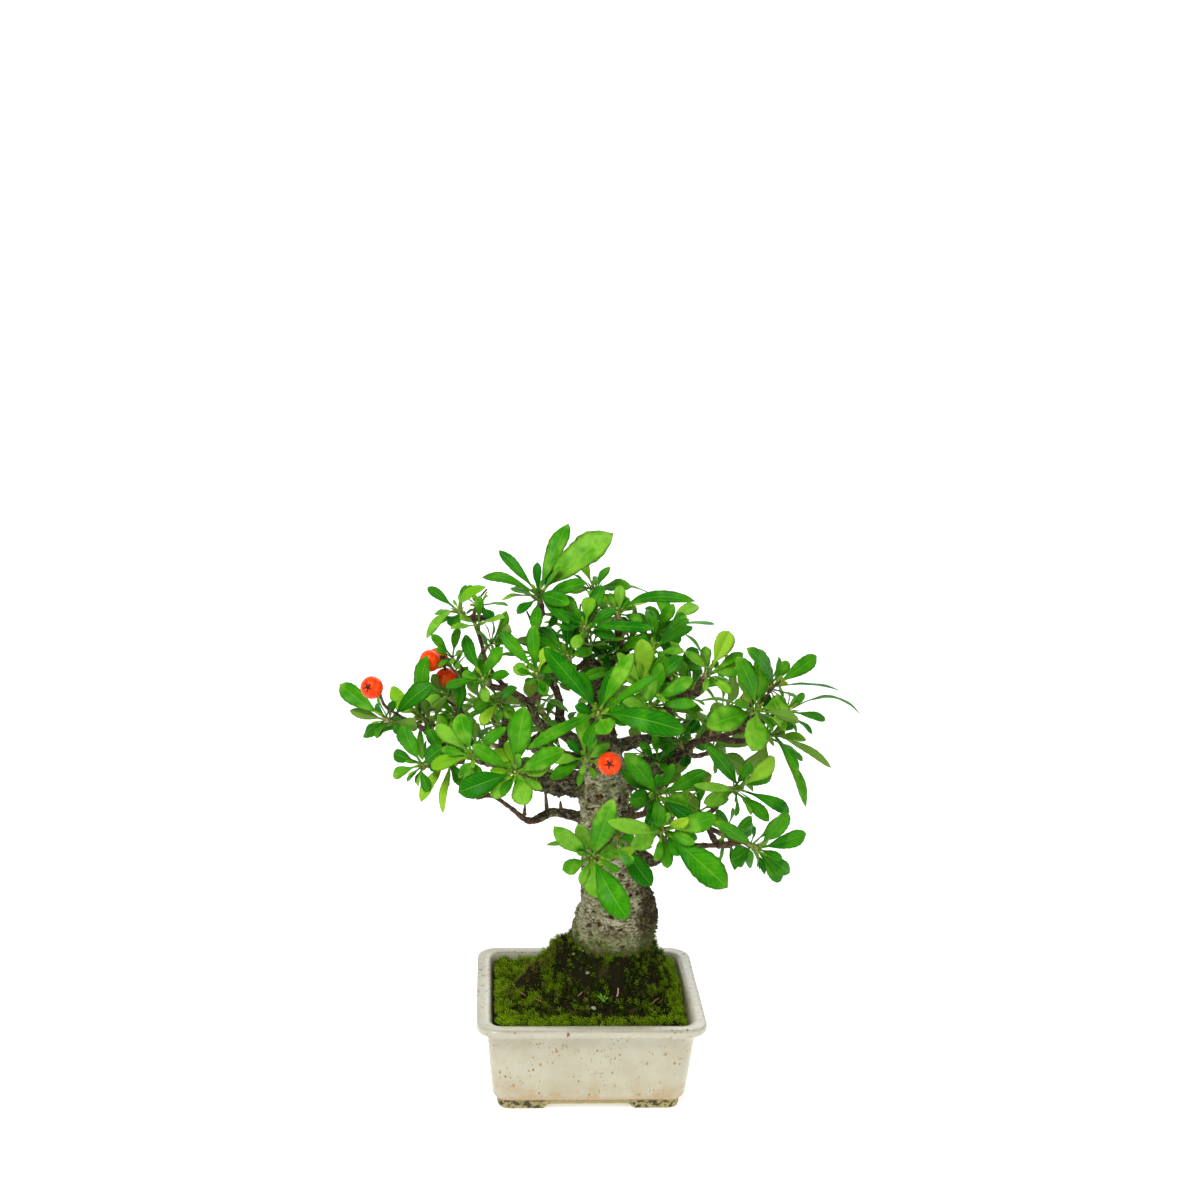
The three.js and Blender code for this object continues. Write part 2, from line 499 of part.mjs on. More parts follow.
    leaves: [[34.1, 192.1, 5, "a"], [19.5, 193.9, 4], [-5.7, 195, 4], [6, 197.5, 4.5], [15, 184, 4]] },
  { name: "leaves_top_right", bud: [23.9, 182.3, 5.5], branch: "apex_far_right", at: 2,
    leaves: [[15.6, 189, 4.3], [30.5, 187, 4], [41.8, 183.3, 4, "e"], [20, 176, 5, "f"], [29, 176, 4.5]] },
  { name: "leaves_right_upper", bud: [19.5, 173.5, -12], branch: "apex_right", at: 1,
    leaves: [[33.6, 182.4, 4], [14, 178, 4.5], [25, 167, 4], [31, 172.5, 4], [13, 168, 4]] },
  { name: "leaves_right_shoulder", bud: [40.5, 165, -15], branch: "right_upper", at: 7,
    leaves: [[47, 180.8, 7.5], [38.5, 175, 4.5], [31, 172.6, 4], [53, 172.8, 4], [51.5, 164.5, 4],
    [49, 157, 4.5], [30.5, 180, 4, "e"]] },
  { name: "leaves_right_inner", bud: [34, 157, 4], branch: "right_upper", at: 5, leaves: [[22.5, 158, 8],
    [28, 170, 6], [36, 149, 5]] },
  { name: "leaves_middle_upright", bud: [17, 158, -24], branch: "right_upper", at: 4,
    leaves: [[15.3, 177.5, 8], [6, 172, 4.5], [9.5, 164, 4], [24, 171, 5]] },
  { name: "leaves_middle_right", bud: [19.5, 151.5, -27], branch: "right_upper", at: 3,
    leaves: [[36.6, 152.5, 4.5], [17.5, 161, 8.5, "f"], [9, 153, 4.5], [26, 145, 4.5]] },
  { name: "leaves_far_right", bare: true, bud: [58.8, 150.5, -12], branch: "right_out", at: 6,
    leaves: [ [71, 153.2, 8.5], [59, 134.5, 11, "f"], [50.5, 171, 8], [58.5, 171, 7], [40.5, 144, 10],
    [75.9, 146.2, 5, "p"], [37, 154.2, 4, "e"], [51.2, 164, 4]] },
  { name: "leaves_right_upright", bare: true, bud: [64.5, 160, -2], branch: "right_out", at: 6,
    leaves: [ [55, 174.5, 7], [80.9, 172.2, 6.2], [90.2, 158.4, 4, "e"], [70, 170, 4.5], [62, 151, 4.5]] },
  { name: "leaves_right_hanging", bare: true, bud: [66, 141, -4], branch: "right_out", at: 5,
    leaves: [ [81.1, 111.9, 5], [89, 128.1, 4, "p"], [76.3, 126.5, 5], [56, 125.5, 10, "p"],
    [74, 146, 4]] },
  { name: "leaves_right_tip", bare: true, bud: [71, 150.5, -6], branch: "right_out", at: 6,
    leaves: [ [99.8, 150, 5, "ea"], [86, 147, 3.5], [68.5, 142.5, 4]] },
  { name: "leaves_right_heart", bud: [31, 138, 9], branch: "right_upper", at: 3, leaves: [[22, 136, 7],
    [23.5, 128, 6], [33, 127.5, 6], [41, 135.5, 5], [38, 146, 5]] },
  { name: "leaves_upper_middle", bud: [6, 164, -2], branch: "apex", at: 1, leaves: [[-4, 176, 5],
    [14, 170, 5], [0, 171, 4.5], [-6, 162, 5], [8, 177, 5]] },
  { name: "leaves_upper_left", bud: [-12, 170, -12], branch: "apex", at: 2, leaves: [[-26, 178, 5],
    [-22, 170, 4.5], [-12, 186, 5], [-3, 172, 4.5], [-14, 160, 5]] },
  { name: "leaves_right_middle_top", bud: [27, 166, 6], branch: "apex_far_right", at: 1,
    leaves: [[22, 178, 5], [36, 174, 5], [38, 167, 4.5], [18, 168, 4.5], [30, 158, 5]] },
  { name: "leaves_middle_low", bud: [-4, 130.5, -38], branch: "front_up", at: 1,
    leaves: [[-17.5, 130.5, 4.5], [-17.2, 122.5, 4.5], [-1, 139.5, 4], [5, 136.5, 4]] },
];

// Leafy shoots on the side that the viewer doesn't see. Their leaves stand round the shoot by the
// golden angle. Length and width are those of the longest leaf.
const BACK_SPRAYS = [
  { name: "leaves_back_left_outer", bud: [-44, 152, 48], branch: "back_left", at: 3, count: 9, length: 25,
    width: 7.5 },
  { name: "leaves_back_left_low", bud: [-40, 136, 44], branch: "back_left", at: 2, count: 7, length: 24,
    width: 7.5 },
  { name: "leaves_back_left_inner", bud: [-22, 150, 44], branch: "back_left", at: 2, count: 7, length: 24,
    width: 7 },
  { name: "leaves_back_right_outer", bud: [48, 150, 46], branch: "back_right", at: 3, count: 9, length: 25,
    width: 7.5 },
  { name: "leaves_back_right_low", bud: [44, 134, 42], branch: "back_right", at: 2, count: 7, length: 24,
    width: 7.5 },
  { name: "leaves_back_right_inner", bud: [27, 150, 44], branch: "back_right", at: 2, count: 7, length: 24,
    width: 7 },
  { name: "leaves_back_top", bud: [-6, 178, 44], branch: "back_middle", at: 3, count: 9, length: 24,
    width: 7 },
  { name: "leaves_back_top_left", bud: [-21, 171, 33], branch: "back_middle", at: 2, count: 8, length: 22,
    width: 6.5 },
  { name: "leaves_back_middle", bud: [2, 154, 52], branch: "back_middle", at: 1, count: 7, length: 24,
    width: 7.5 },
  { name: "leaves_back_low", bud: [26, 119, 40], branch: "back_low", at: 2, count: 8, length: 23,
    width: 8 },
];

// Berries, and the points of the thin stalk that carries each.
const BERRIES = [
  { name: "berry_far_left", place: [-83.2, 157.1, -24], eye: [-0.4, -1, 0.35], stalk: [[-69, 144, -11],
    [-74, 147, -15], [-79, 151, -21]] },
  { name: "berry_cluster_left", place: [-62.2, 167.6, -1], eye: [-0.85, -0.5, -0.15],
    stalk: [[-57, 168.6, 3]] },
  { name: "berry_cluster_right", place: [-59.5, 168.6, 10], eye: [-0.35, 0.9, 0.1],
    stalk: [[-57, 168.6, 3]] },
  { name: "berry_cluster_low", place: [-56.3, 161.2, 4], eye: [0.1, 0.1, -1], stalk: [[-57, 168.6, 3]] },
  { name: "berry_front", place: [4.9, 128.7, -52], eye: [-0.1, -1, 0.3], stalk: [[1.6, 137.5, -24],
    [4.4, 136.2, -44]] },
];

function axisOf(bud) {
  const toEye = EYE.clone().sub(bud).normalize();
  return bud.clone().sub(HEART).normalize().addScaledVector(toEye, 0.35).normalize();
}

// Order in which a leaf's lean is tried: as read, then further each way, and at last shorter too.
const LEANS = [0];
for (let step = 1; step <= LEAN_STEPS; step++) LEANS.push(step * LEAN_STEP, -step * LEAN_STEP);
const TRIES = [1, 0.82, 0.66].flatMap((shorter) => LEANS.map((lean) => ({ lean, shorter })));

const degrees = THREE.MathUtils.degToRad;

// A direction turned by an angle towards another one that is square to it.
function turnedTo(way, other, angle) {
  return way.clone().multiplyScalar(Math.cos(angle)).addScaledVector(other, Math.sin(angle));
}

// Lean out of the picture at which a leaf stands at its usual angle to the shoot.
function usualLean(flat, toEye, axis, kind) {
  if (kind.includes("f")) return degrees(48);
  if (kind.includes("e")) return degrees(5);
  let best = 0;
  let least = Infinity;
  for (let lean = -24; lean <= 40; lean += 4) {
    const way = turnedTo(flat, toEye, degrees(lean));
    const miss = Math.abs(way.dot(axis) - Math.cos(degrees(LEAF_SPREAD)));
    if (miss < least) {
      least = miss;
      best = lean;
    }
  }
  return degrees(best);
}

// A leaf read from the viewer's side: its length and direction follow from the tip's place and the lean.
function seenLeaf(bud, budPlace, axis, [x, z, width, kind = ""], leanMore, shorter) {
  const toEye = EYE.clone().sub(bud).normalize();
  const flatTip = seen([x, z, budPlace[2]]);
  const flat = flatTip.clone().sub(bud);
  const flatLength = flat.length();
  flat.normalize();
  const shortest = Math.acos(Math.min(1, flatLength / LONGEST_LEAF));
  const lean = usualLean(flat, toEye, axis, kind) + degrees(leanMore);
  const held = THREE.MathUtils.clamp(lean, -shortest, shortest);
  const depth = budPlace[2] - flatLength * Math.tan(held);
  const tip = seen([x, z, depth]).sub(bud).multiplyScalar(shorter).add(bud);
  const way = tip.clone().sub(bud).normalize();
  return { way, tip, width, face: faceOf(way, axis, toEye, kind), arch: kind.includes("a") ? 0.2 : 0.07 };
}

// The side that a leaf's upper face looks to.
function faceOf(way, axis, toEye, kind) {
  const face = square(axis, way);
  const toViewer = square(toEye, way);
  if (kind.includes("e")) {
    const across = toViewer.clone().cross(way).multiplyScalar(way.x > 0 ? 1 : -1);
    return across.addScaledVector(toViewer, EDGE_TILT).normalize();
  }
  if (kind.includes("p")) return face.addScaledVector(toViewer, -1.6).normalize();
  return face.addScaledVector(toViewer, 0.9).normalize();
}

// Part of a direction that is square to another, as a unit direction.
function square(direction, way) {
  return direction.clone().addScaledVector(way, -direction.dot(way)).normalize();
}

// Leaves on the far side of a shoot, which the viewer doesn't see: spread like a fan, pointing away.
const FAR_LEAVES = 2;
const FAR_LENGTH = 18;
const FAR_WIDTH = 5.6;
const FAR_FAN = 56; // degrees from one to the next

function farLeaf(bud, axis, index, leanMore, shorter) {
  const toEye = EYE.clone().sub(bud).normalize();
  const far = square(toEye, axis).negate();
  const turn = degrees((index - (FAR_LEAVES - 1) / 2) * FAR_FAN);
  const outward = turnedTo(far, axis.clone().cross(far), turn);
  const spread = degrees(58 + (index % 2) * 12 + leanMore);
  return ruledLeaf(bud, axis, outward, spread, FAR_LENGTH * (1 - 0.1 * index) * shorter, FAR_WIDTH);
}

// A leaf that leaves its shoot towards a side at an angle.
function ruledLeaf(bud, axis, outward, spread, length, width) {
  const way = turnedTo(axis, outward, spread).normalize();
  const tip = bud.clone().addScaledVector(way, length);
  return { way, tip, width, face: square(axis, way), arch: 0.08, plain: true };
}

const GOLDEN_ANGLE = degrees(137.5);

function backLeaf(bud, axis, spray, index, leanMore, shorter) {
  const side = square(new THREE.Vector3(0, 0, 1), axis);
  const other = axis.clone().cross(side);
  const turn = index * GOLDEN_ANGLE;
  const spread = degrees(72 - (index / spray.count) * 40 + leanMore);
  const length = spray.length * (1 - 0.35 * (index / spray.count)) * shorter;
  const outward = turnedTo(side, other, turn);
  return ruledLeaf(bud, axis, outward, spread, length, spray.width);
}

// Outline of a blade: share of the length and share of the half width, from the stalk to the tip.
const BLADE_STATIONS = [[0.34, 0.7], [0.72, 1], [0.93, 0.62]];
const NARROW_STATIONS = [[0.42, 0.85], [0.84, 0.85]];

// Corners of a thin blade's section, as shares of the half width and of the half thickness.
const SECTION = [[1, -1], [-1, -1], [-1, 1], [1, 1]];

// Rings of four corners from near the stalk to near the tip. Swell makes the blade fatter.
function bladeRings(leaf, swell = 0) {
  const stations = leaf.width > 5.5 && !leaf.plain ? BLADE_STATIONS : NARROW_STATIONS;
  const length = leaf.tip.distanceTo(leaf.root);
  const middle = leaf.root.clone().lerp(leaf.tip, 0.5).addScaledVector(leaf.face, leaf.arch * length * 2);
  const curve = new THREE.QuadraticBezierCurve3(leaf.root, middle, leaf.tip);
  return stations.map(([share, wide]) => {
    const along = curve.getTangent(share);
    const centre = curve.getPoint(share);
    const side = along.clone().cross(leaf.face).normalize();
    const up = side.clone().cross(along).normalize();
    const half = Math.max(PETIOLE_HALF_WIDTH, (wide * leaf.width) / 2) + swell;
    const thick = BLADE_THICKNESS / 2 + swell;
    return SECTION.map(([s, u]) =>
      centre.clone().addScaledVector(side, s * half).addScaledVector(up, u * thick));
  });
}

// Faces of a blade whose rings of four have these point numbers and end at one tip point. The upper
// and the under side are split alike, and the row at the root is split so that it bulges out.
function bladeFaces(points, rings, tip) {
  const faces = rootSplits(points, rings[0], rings[1]).flatMap((split) => split.faces);
  for (let row = 1; row < rings.length - 1; row++) {
    for (let i = 0; i < 4; i++) {
      const [a, b] = [rings[row][i], rings[row][(i + 1) % 4]];
      const [c, d] = [rings[row + 1][(i + 1) % 4], rings[row + 1][i]];
      if (i === 0) faces.push(a, b, d, b, c, d);
      else faces.push(a, b, c, a, c, d);
    }
  }
  const last = rings.at(-1);
  for (let i = 0; i < 4; i++) faces.push(last[i], last[(i + 1) % 4], tip);
  return faces;
}

// For each side between two rings, the way to split it that keeps the middle line deepest, and that depth.
function rootSplits(points, ring, next) {
  const middles = [ring, next].map((numbers) => middleOf(numbers.map((number) => points[number])));
  const depthUnder = (a, b, c) => {
    const outward = points[b].clone().sub(points[a]).cross(points[c].clone().sub(points[a])).normalize();
    return Math.min(...middles.map((middle) => points[a].clone().sub(middle).dot(outward)));
  };
  return [0, 1, 2, 3].map((i) => {
    const [a, b, c, d] = [ring[i], ring[(i + 1) % 4], next[(i + 1) % 4], next[i]];
    const ways = [[a, b, c, a, c, d], [a, b, d, b, c, d]].map((faces) => {
      return { faces, depth: Math.min(depthUnder(...faces.slice(0, 3)), depthUnder(...faces.slice(3))) };
    });
    return ways[0].depth > ways[1].depth ? ways[0] : ways[1];
  });
}

// A blade's rings by point number, with the facet's corners first and the tip last.
function bladePoints(leaf, facet, swell = 0) {
  const rings = bladeRings(leaf, swell);
  const points = [...facet, ...rings.flat(), leaf.tip];
  const rows = [0, ...rings.map((_, row) => row + 1)];
  return { points, rings: rows.map((row) => [0, 1, 2, 3].map((i) => row * 4 + i)) };
}

// True if a blade's root nowhere passes through itself: seen from its middle line, every face looks outward.
function isSound(leaf, facet) {
  const { points, rings } = bladePoints(leaf, facet);
  return rootSplits(points, rings[0], rings[1]).every((split) => split.depth > LEAST_DEPTH);
}

// A blade by itself, from four corners of a shoot's facet to its tip.
function bladeSolid(leaf, facet, swell = 0) {
  const { points, rings } = bladePoints(leaf, facet, swell);
  return solid(points, [0, 2, 1, 0, 3, 2, ...bladeFaces(points, rings, points.length - 1)]);
}

// A shoot is a five-sided column. Each leaf grows out of one of its facets.
const SHOOT_SIDES = 5;
const SHOOT_TOP = 1;

function shootColumn(bud, axis, count) {
  const rows = Math.ceil(count / 5) + 1;
  const side = square(new THREE.Vector3(0, 0.3, 1), axis);
  const other = axis.clone().cross(side);
  const heights = [-SHOOT_DEPTH];
  for (let row = 0; row <= rows; row++) heights.push(lerp(-SHOOT_DEPTH + 0.8, SHOOT_TOP, row / rows));
  const loops = heights.map((height, ring) => {
    const radius = lerp(SHOOT_RADIUS, SHOOT_RADIUS * 0.75, ring / rows);
    return Array.from({ length: SHOOT_SIDES }, (_, k) => {
      const angle = (k * 2 * Math.PI) / SHOOT_SIDES;
      return bud
        .clone()
        .addScaledVector(axis, height)
        .addScaledVector(side, radius * Math.cos(angle))
        .addScaledVector(other, radius * Math.sin(angle));
    });
  });
  const facets = [];
  for (let row = 1; row < loops.length - 1; row++) {
    for (let k = 0; k < SHOOT_SIDES; k++) {
      const next = (k + 1) % SHOOT_SIDES;
      const numbers = [[row, k], [row, next], [row + 1, next], [row + 1, k]];
      const corners = numbers.map(([r, i]) => loops[r][i]);
      const [right, up] = [corners[1], corners[3]].map((corner) => corner.clone().sub(corners[0]));
      const middle = middleOf(corners);
      const outward = right.cross(up).normalize();
      facets.push({ numbers: numbers.map(([r, i]) => r * SHOOT_SIDES + i), corners, middle, outward });
    }
  }
  return { loops, facets, end: bud.clone().addScaledVector(axis, SHOOT_TOP + 0.5) };
}

// Column and leaves as one closed surface.
function sprayBody(column, leaves) {
  const points = [...column.loops.flat(), middleOf(column.loops[0]), column.end];
  const top = (column.loops.length - 1) * SHOOT_SIDES;
  const faces = [];
  for (let k = 0; k < SHOOT_SIDES; k++) {
    const next = (k + 1) % SHOOT_SIDES;
    faces.push(points.length - 2, next, k, points.length - 1, top + k, top + next);
    faces.push(k, next, SHOOT_SIDES + next, k, SHOOT_SIDES + next, SHOOT_SIDES + k);
  }
  const taken = new Set(leaves.map((leaf) => leaf.facet));
  for (const facet of column.facets.filter((one) => !taken.has(one))) {
    const [a, b, c, d] = facet.numbers;
    faces.push(a, b, c, a, c, d);
  }
  for (const leaf of leaves) {
    const start = points.length;
    const rings = bladeRings(leaf);
    const root = [0, 1, 2, 3].map((i) => leaf.facet.numbers[(i + leaf.turn) % 4]);
    points.push(...rings.flat(), leaf.tip);
    const numbers = [root, ...rings.map((_, row) => [0, 1, 2, 3].map((i) => start + row * 4 + i))];
    faces.push(...bladeFaces(points, numbers, points.length - 1));
  }
  return solid(points, faces);
}

// How far to turn the numbering of a facet's corners so that the blade leaves it with the least twist.
function turnOf(facet, ring) {
  const middle = middleOf(ring);
  const twist = (turn) => {
    const misses = ring.map((corner, i) => {
      const from = facet.corners[(i + turn) % 4].clone().sub(facet.middle).normalize();
      return from.distanceTo(corner.clone().sub(middle).normalize());
    });
    return misses.reduce((sum, miss) => sum + miss, 0);
  };
  return [0, 1, 2, 3].reduce((best, turn) => (twist(turn) < twist(best) ? turn : best));
}

// Wooden spur from a branch to just under a shoot.
function spur(spray) {
  const bud = seen(spray.bud);
  const axis = axisOf(bud);
  const from = seen(BRANCHES[spray.branch].line[spray.at]);
  const end = bud.clone().addScaledVector(axis, -SHOOT_DEPTH - FIT);
  const span = from.distanceTo(end);
  const before = end.clone().addScaledVector(axis, -Math.min(4, span * 0.3));
  const sag = from.clone().lerp(before, 0.5);
  sag.z -= span * 0.05;
  return limb([from, sag, before, end], [1.35, 0.95], 3, span > 14 ? 3 : 2);
}

// Growing everything: the wood first, then spray by spray, each leaf bent clear of what stands already.

function wood() {
  const pieces = [limb(TRUNK_LINE.map(seen), TRUNK_RADII, TRUNK_SIDES, TRUNK_STEPS, TRUNK_KNOBS)];
  const collarTop = seen(TRUNK_LINE[0]);
  const heights = [COLLAR_BOTTOM, (COLLAR_BOTTOM + COLLAR_TOP) / 2, COLLAR_TOP];
  const collar = heights.map((z) => spokeLoop(() => COLLAR_RADIUS, z));
  const shoulder = spokes.map((spoke) =>
    new THREE.Vector3(spoke.x * SHOULDER_RADIUS, spoke.y * SHOULDER_RADIUS, SHOULDER_RISE).add(collarTop));
  pieces.push(lofted([...collar, shoulder]));
  for (const branch of Object.values(BRANCHES)) {
    const sides = branch.radii[0] > THICK_LIMB ? 7 : 5;
    pieces.push(limb(branch.line.map(seen), branch.radii, sides, branch.line.length, LIMB_KNOBS));
  }
  for (const stub of STUBS) {
    pieces.push(limb(stub.line.map(seen), [stub.radius, stub.radius * 0.45], 3, stub.line.length));
  }
  for (const spray of [...SPRAYS, ...BACK_SPRAYS]) pieces.push(spur(spray));
  for (const berry of BERRIES) pieces.push(stalk(berry));
  return withoutHollows(wasm.Manifold.union(pieces));
}

// Fills the tiny hollows that joining can seal.
function withoutHollows(body) {
  return body.decompose().reduce((most, part) => (part.volume() > most.volume() ? part : most));
}

const STALK_RADIUS = 0.5;

function stalk(berry) {
  const centre = seen(berry.place);
  const eye = new THREE.Vector3(...berry.eye).normalize();
  const end = centre.clone().addScaledVector(eye, -BERRY_RADIUS * 0.86 - FIT);
  const before = centre.clone().addScaledVector(eye, -BERRY_RADIUS - 1.6);
  const line = [...berry.stalk.map(seen), before, end];
  return limb(line, [STALK_RADIUS * 1.2, STALK_RADIUS], 3, line.length);
}

// A berry is a slightly flat ball with a dent at the stalk and a shallow one at the eye.
function berry(spec) {
  const outline = [new THREE.Vector2(0, -0.86)];
  for (const angle of [-62, -36, -10, 16, 42, 64]) {
    outline.push(new THREE.Vector2(Math.cos(degrees(angle)), 0.92 * Math.sin(degrees(angle))));
  }
  outline.push(new THREE.Vector2(0, 0.76));
  const ball = new THREE.LatheGeometry(outline.map((p) => p.multiplyScalar(BERRY_RADIUS)), 10);
  const eye = new THREE.Vector3(...spec.eye).normalize();
  ball.applyQuaternion(new THREE.Quaternion().setFromUnitVectors(new THREE.Vector3(0, 1, 0), eye));
  return solidOf(ball.translate(...seen(spec.place).toArray()));
}

function boxesMeet(a, b) {
  return [0, 1, 2].every((k) => a.min[k] <= b.max[k] && b.min[k] <= a.max[k]);
}

const MARGIN = 0.3; // how far a leaf stays clear of what isn't its own spray

// Volume that a leaf shares with other pieces.
function shared(body, others) {
  const around = body.boundingBox();
  const near = others.filter((other) => boxesMeet(other.around, around));
  return near.reduce((sum, other) => sum + body.intersect(other.body).volume(), 0);
}

function piece(body) {
  return { body, around: body.boundingBox() };
}

const FACETS_TRIED = 9;
const LEAST_FACING = 0.05; // how squarely a facet must look along the leaf that grows out of it
const LEAST_DEPTH = 0.03; // how far a blade's middle line stays under its skin

// Each leaf takes a free facet of the shoot and the first lean at which it meets nothing.
function placed(bent, column, own, standing) {
  const free = column.facets.filter((facet) => !own.some((leaf) => leaf.facet === facet));
  for (const { lean, shorter } of TRIES) {
    const leaf = bent(lean, shorter);
    const wanted = leaf.way.clone().multiplyScalar(3).add(column.middle);
    const facing = free.filter((facet) => facet.outward.dot(leaf.way) > LEAST_FACING);
    const facets = facing.sort((a, b) => a.middle.distanceTo(wanted) - b.middle.distanceTo(wanted));
    for (const facet of facets.slice(0, FACETS_TRIED)) {
      leaf.root = facet.middle;
      leaf.facet = facet;
      leaf.turn = turnOf(facet, bladeRings(leaf)[0]);
      const corners = [0, 1, 2, 3].map((i) => facet.corners[(i + leaf.turn) % 4]);
      if (!isSound(leaf, corners)) continue;
      if (shared(bladeSolid(leaf, corners, MARGIN / 2), standing) > 0) break;
      const body = bladeSolid(leaf, corners);
      if (shared(body, [...own, column]) < TOUCH) return { ...leaf, ...piece(body) };
    }
  }
  return null;
}

const TOUCH = 1e-4; // cubic millimetres, below which two pieces only touch

// Leaf number index of a spray, bent and shortened as asked.
function leafOf(spray, bud, axis, index, lean, shorter) {
  if (!spray.leaves) return backLeaf(bud, axis, spray, index, lean, shorter);
  if (index < spray.leaves.length) return seenLeaf(bud, spray.bud, axis, spray.leaves[index], lean, shorter);
  return farLeaf(bud, axis, index - spray.leaves.length, lean, shorter);
}

function leafCount(spray) {
  if (!spray.leaves) return spray.count;
  return spray.leaves.length + (spray.bare ? 0 : FAR_LEAVES);
}

function grow(spray, standing) {
  const bud = seen(spray.bud);
  const axis = axisOf(bud);
  const count = leafCount(spray);
  const column = shootColumn(bud, axis, count);
  Object.assign(column, piece(lofted(column.loops)), { middle: bud });
  const own = [];
  for (let index = 0; index < count; index++) {
    const bent = (lean, shorter) => leafOf(spray, bud, axis, index, lean, shorter);
    const leaf = placed(bent, column, own, standing);
    if (leaf) own.push(leaf);
  }
  return sprayBody(column, own);
}

const LOOKS = {
  pot: { color: 0xd2d0bd, roughness: 0.35 },
  drain_mesh: { color: 0x1f1f1f, roughness: 0.6 },
  soil: { color: 0x2e2218, roughness: 1 },
  moss: { color: 0x3c6a12, roughness: 1 },
  trunk_and_branches: { color: 0x6f675a, roughness: 0.9 },
  berry: { color: 0xe8481a, roughness: 0.25 },
  leaves: { color: LEAF_GREEN, roughness: 0.45 },
};

const bonsai = new THREE.Group();

function show(name, body, look) {
  const mesh = new THREE.Mesh(geometryOf(body), new THREE.MeshStandardMaterial({ ...look, metalness: 0 }));
  mesh.name = name;
  bonsai.add(mesh);
}

const standing = [];
const woodBody = wood();
const mossBody = moss();
standing.push(piece(woodBody), piece(mossBody));
show("pot", pot(), LOOKS.pot);
show("drain_mesh", drainMesh(), LOOKS.drain_mesh);
show("soil", soil(), LOOKS.soil);
show("moss", mossBody, LOOKS.moss);
show("trunk_and_branches", woodBody, LOOKS.trunk_and_branches);
for (const spec of BERRIES) {
  const body = berry(spec);
  standing.push(piece(body));
  show(spec.name, body, LOOKS.berry);
}
// The shoots stand before any leaf is placed, so no leaf runs through another spray's shoot.
const shootOf = new Map();
for (const spray of [...SPRAYS, ...BACK_SPRAYS]) {
  const bud = seen(spray.bud);
  shootOf.set(spray.name, piece(lofted(shootColumn(bud, axisOf(bud), 4).loops)));
}
for (const spray of [...SPRAYS, ...BACK_SPRAYS]) {
  const otherShoots = [...shootOf].filter(([name]) => name !== spray.name).map(([, shape]) => shape);
  const around = [...standing, ...otherShoots];
  const body = grow(spray, around);
  standing.push(piece(body));
  show(spray.name, body, LOOKS.leaves);
}
export default bonsai;
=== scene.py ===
"""Looks of the narrowleaf firethorn bonsai: fine leaves, bark, moss, glaze and berries round the frame.

Lengths are in millimetres in the tables and functions below, and turn into metres where a mesh is made.
"""
import json
import math

import bmesh
import bpy
import numpy as np
from mathutils import Matrix, Vector, noise
from mathutils.bvhtree import BVHTree

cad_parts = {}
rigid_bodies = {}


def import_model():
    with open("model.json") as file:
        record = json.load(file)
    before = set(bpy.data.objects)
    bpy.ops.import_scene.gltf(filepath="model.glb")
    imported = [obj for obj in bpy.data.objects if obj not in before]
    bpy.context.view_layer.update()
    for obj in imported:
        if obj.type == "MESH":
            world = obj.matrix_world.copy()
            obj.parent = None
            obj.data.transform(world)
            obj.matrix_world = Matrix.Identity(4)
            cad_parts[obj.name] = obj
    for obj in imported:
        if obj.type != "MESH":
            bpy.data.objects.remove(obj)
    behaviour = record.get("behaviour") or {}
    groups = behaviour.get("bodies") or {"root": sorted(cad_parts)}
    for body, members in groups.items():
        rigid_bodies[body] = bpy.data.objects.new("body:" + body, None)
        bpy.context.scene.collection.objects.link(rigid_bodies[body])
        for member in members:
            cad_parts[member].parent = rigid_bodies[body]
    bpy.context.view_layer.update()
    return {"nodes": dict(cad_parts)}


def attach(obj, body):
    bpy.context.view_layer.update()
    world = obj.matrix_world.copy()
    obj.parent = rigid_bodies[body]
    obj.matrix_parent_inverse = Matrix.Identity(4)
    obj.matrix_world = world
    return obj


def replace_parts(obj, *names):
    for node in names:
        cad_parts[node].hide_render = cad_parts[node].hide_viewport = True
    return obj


for thing in list(bpy.data.objects):
    bpy.data.objects.remove(thing)
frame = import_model()
scene = bpy.context.scene

MM = 0.001
SEED = 20
BODY = "root"

# The pot and what fills it, as in the part's source.
POT_WIDTH, POT_DEPTH, POT_HEIGHT = 86, 68.8, 37
RIM_WIDTH, RIM_FACE, RIM_OVERHANG = 5.5, 2.5, 3.9
WALL_TAPER, INNER_TAPER, FLOOR_Z, BASE_Z = 2.6, 5.5, 8.2, 4.4
FOOT_INSET, FOOT_RING, FOOT_LENGTH, ARCH_HEIGHT, DRAIN_RADIUS = 2.2, 7, 17.5, 2.4, 5
TRUNK_X, TRUNK_Y, COLLAR_RADIUS = 8.3, 7, 15
MOSS_LEVEL, MOSS_THICKNESS, MOUND_HEIGHT, MOUND_REACH = 34.8, 1.9, 19.5, 8
WALL_LIP, WALL_SLOPE, WALL_GAP = 1.5, 2, 0.45
ROOTS = [
    ((-10.5, 5, 58), (-36, -7, 35), 1.25),
    ((22, 6, 54), (35, -7, 35), 1.3),
    ((0, -6, 55), (-3, -22, 35), 1.5),
    ((14, 20, 54), (26, 27, 35), 1.3),
]
SOIL_COVER = 1.7
BERRY_RADIUS = 4
BLADE_THICKNESS = 0.7

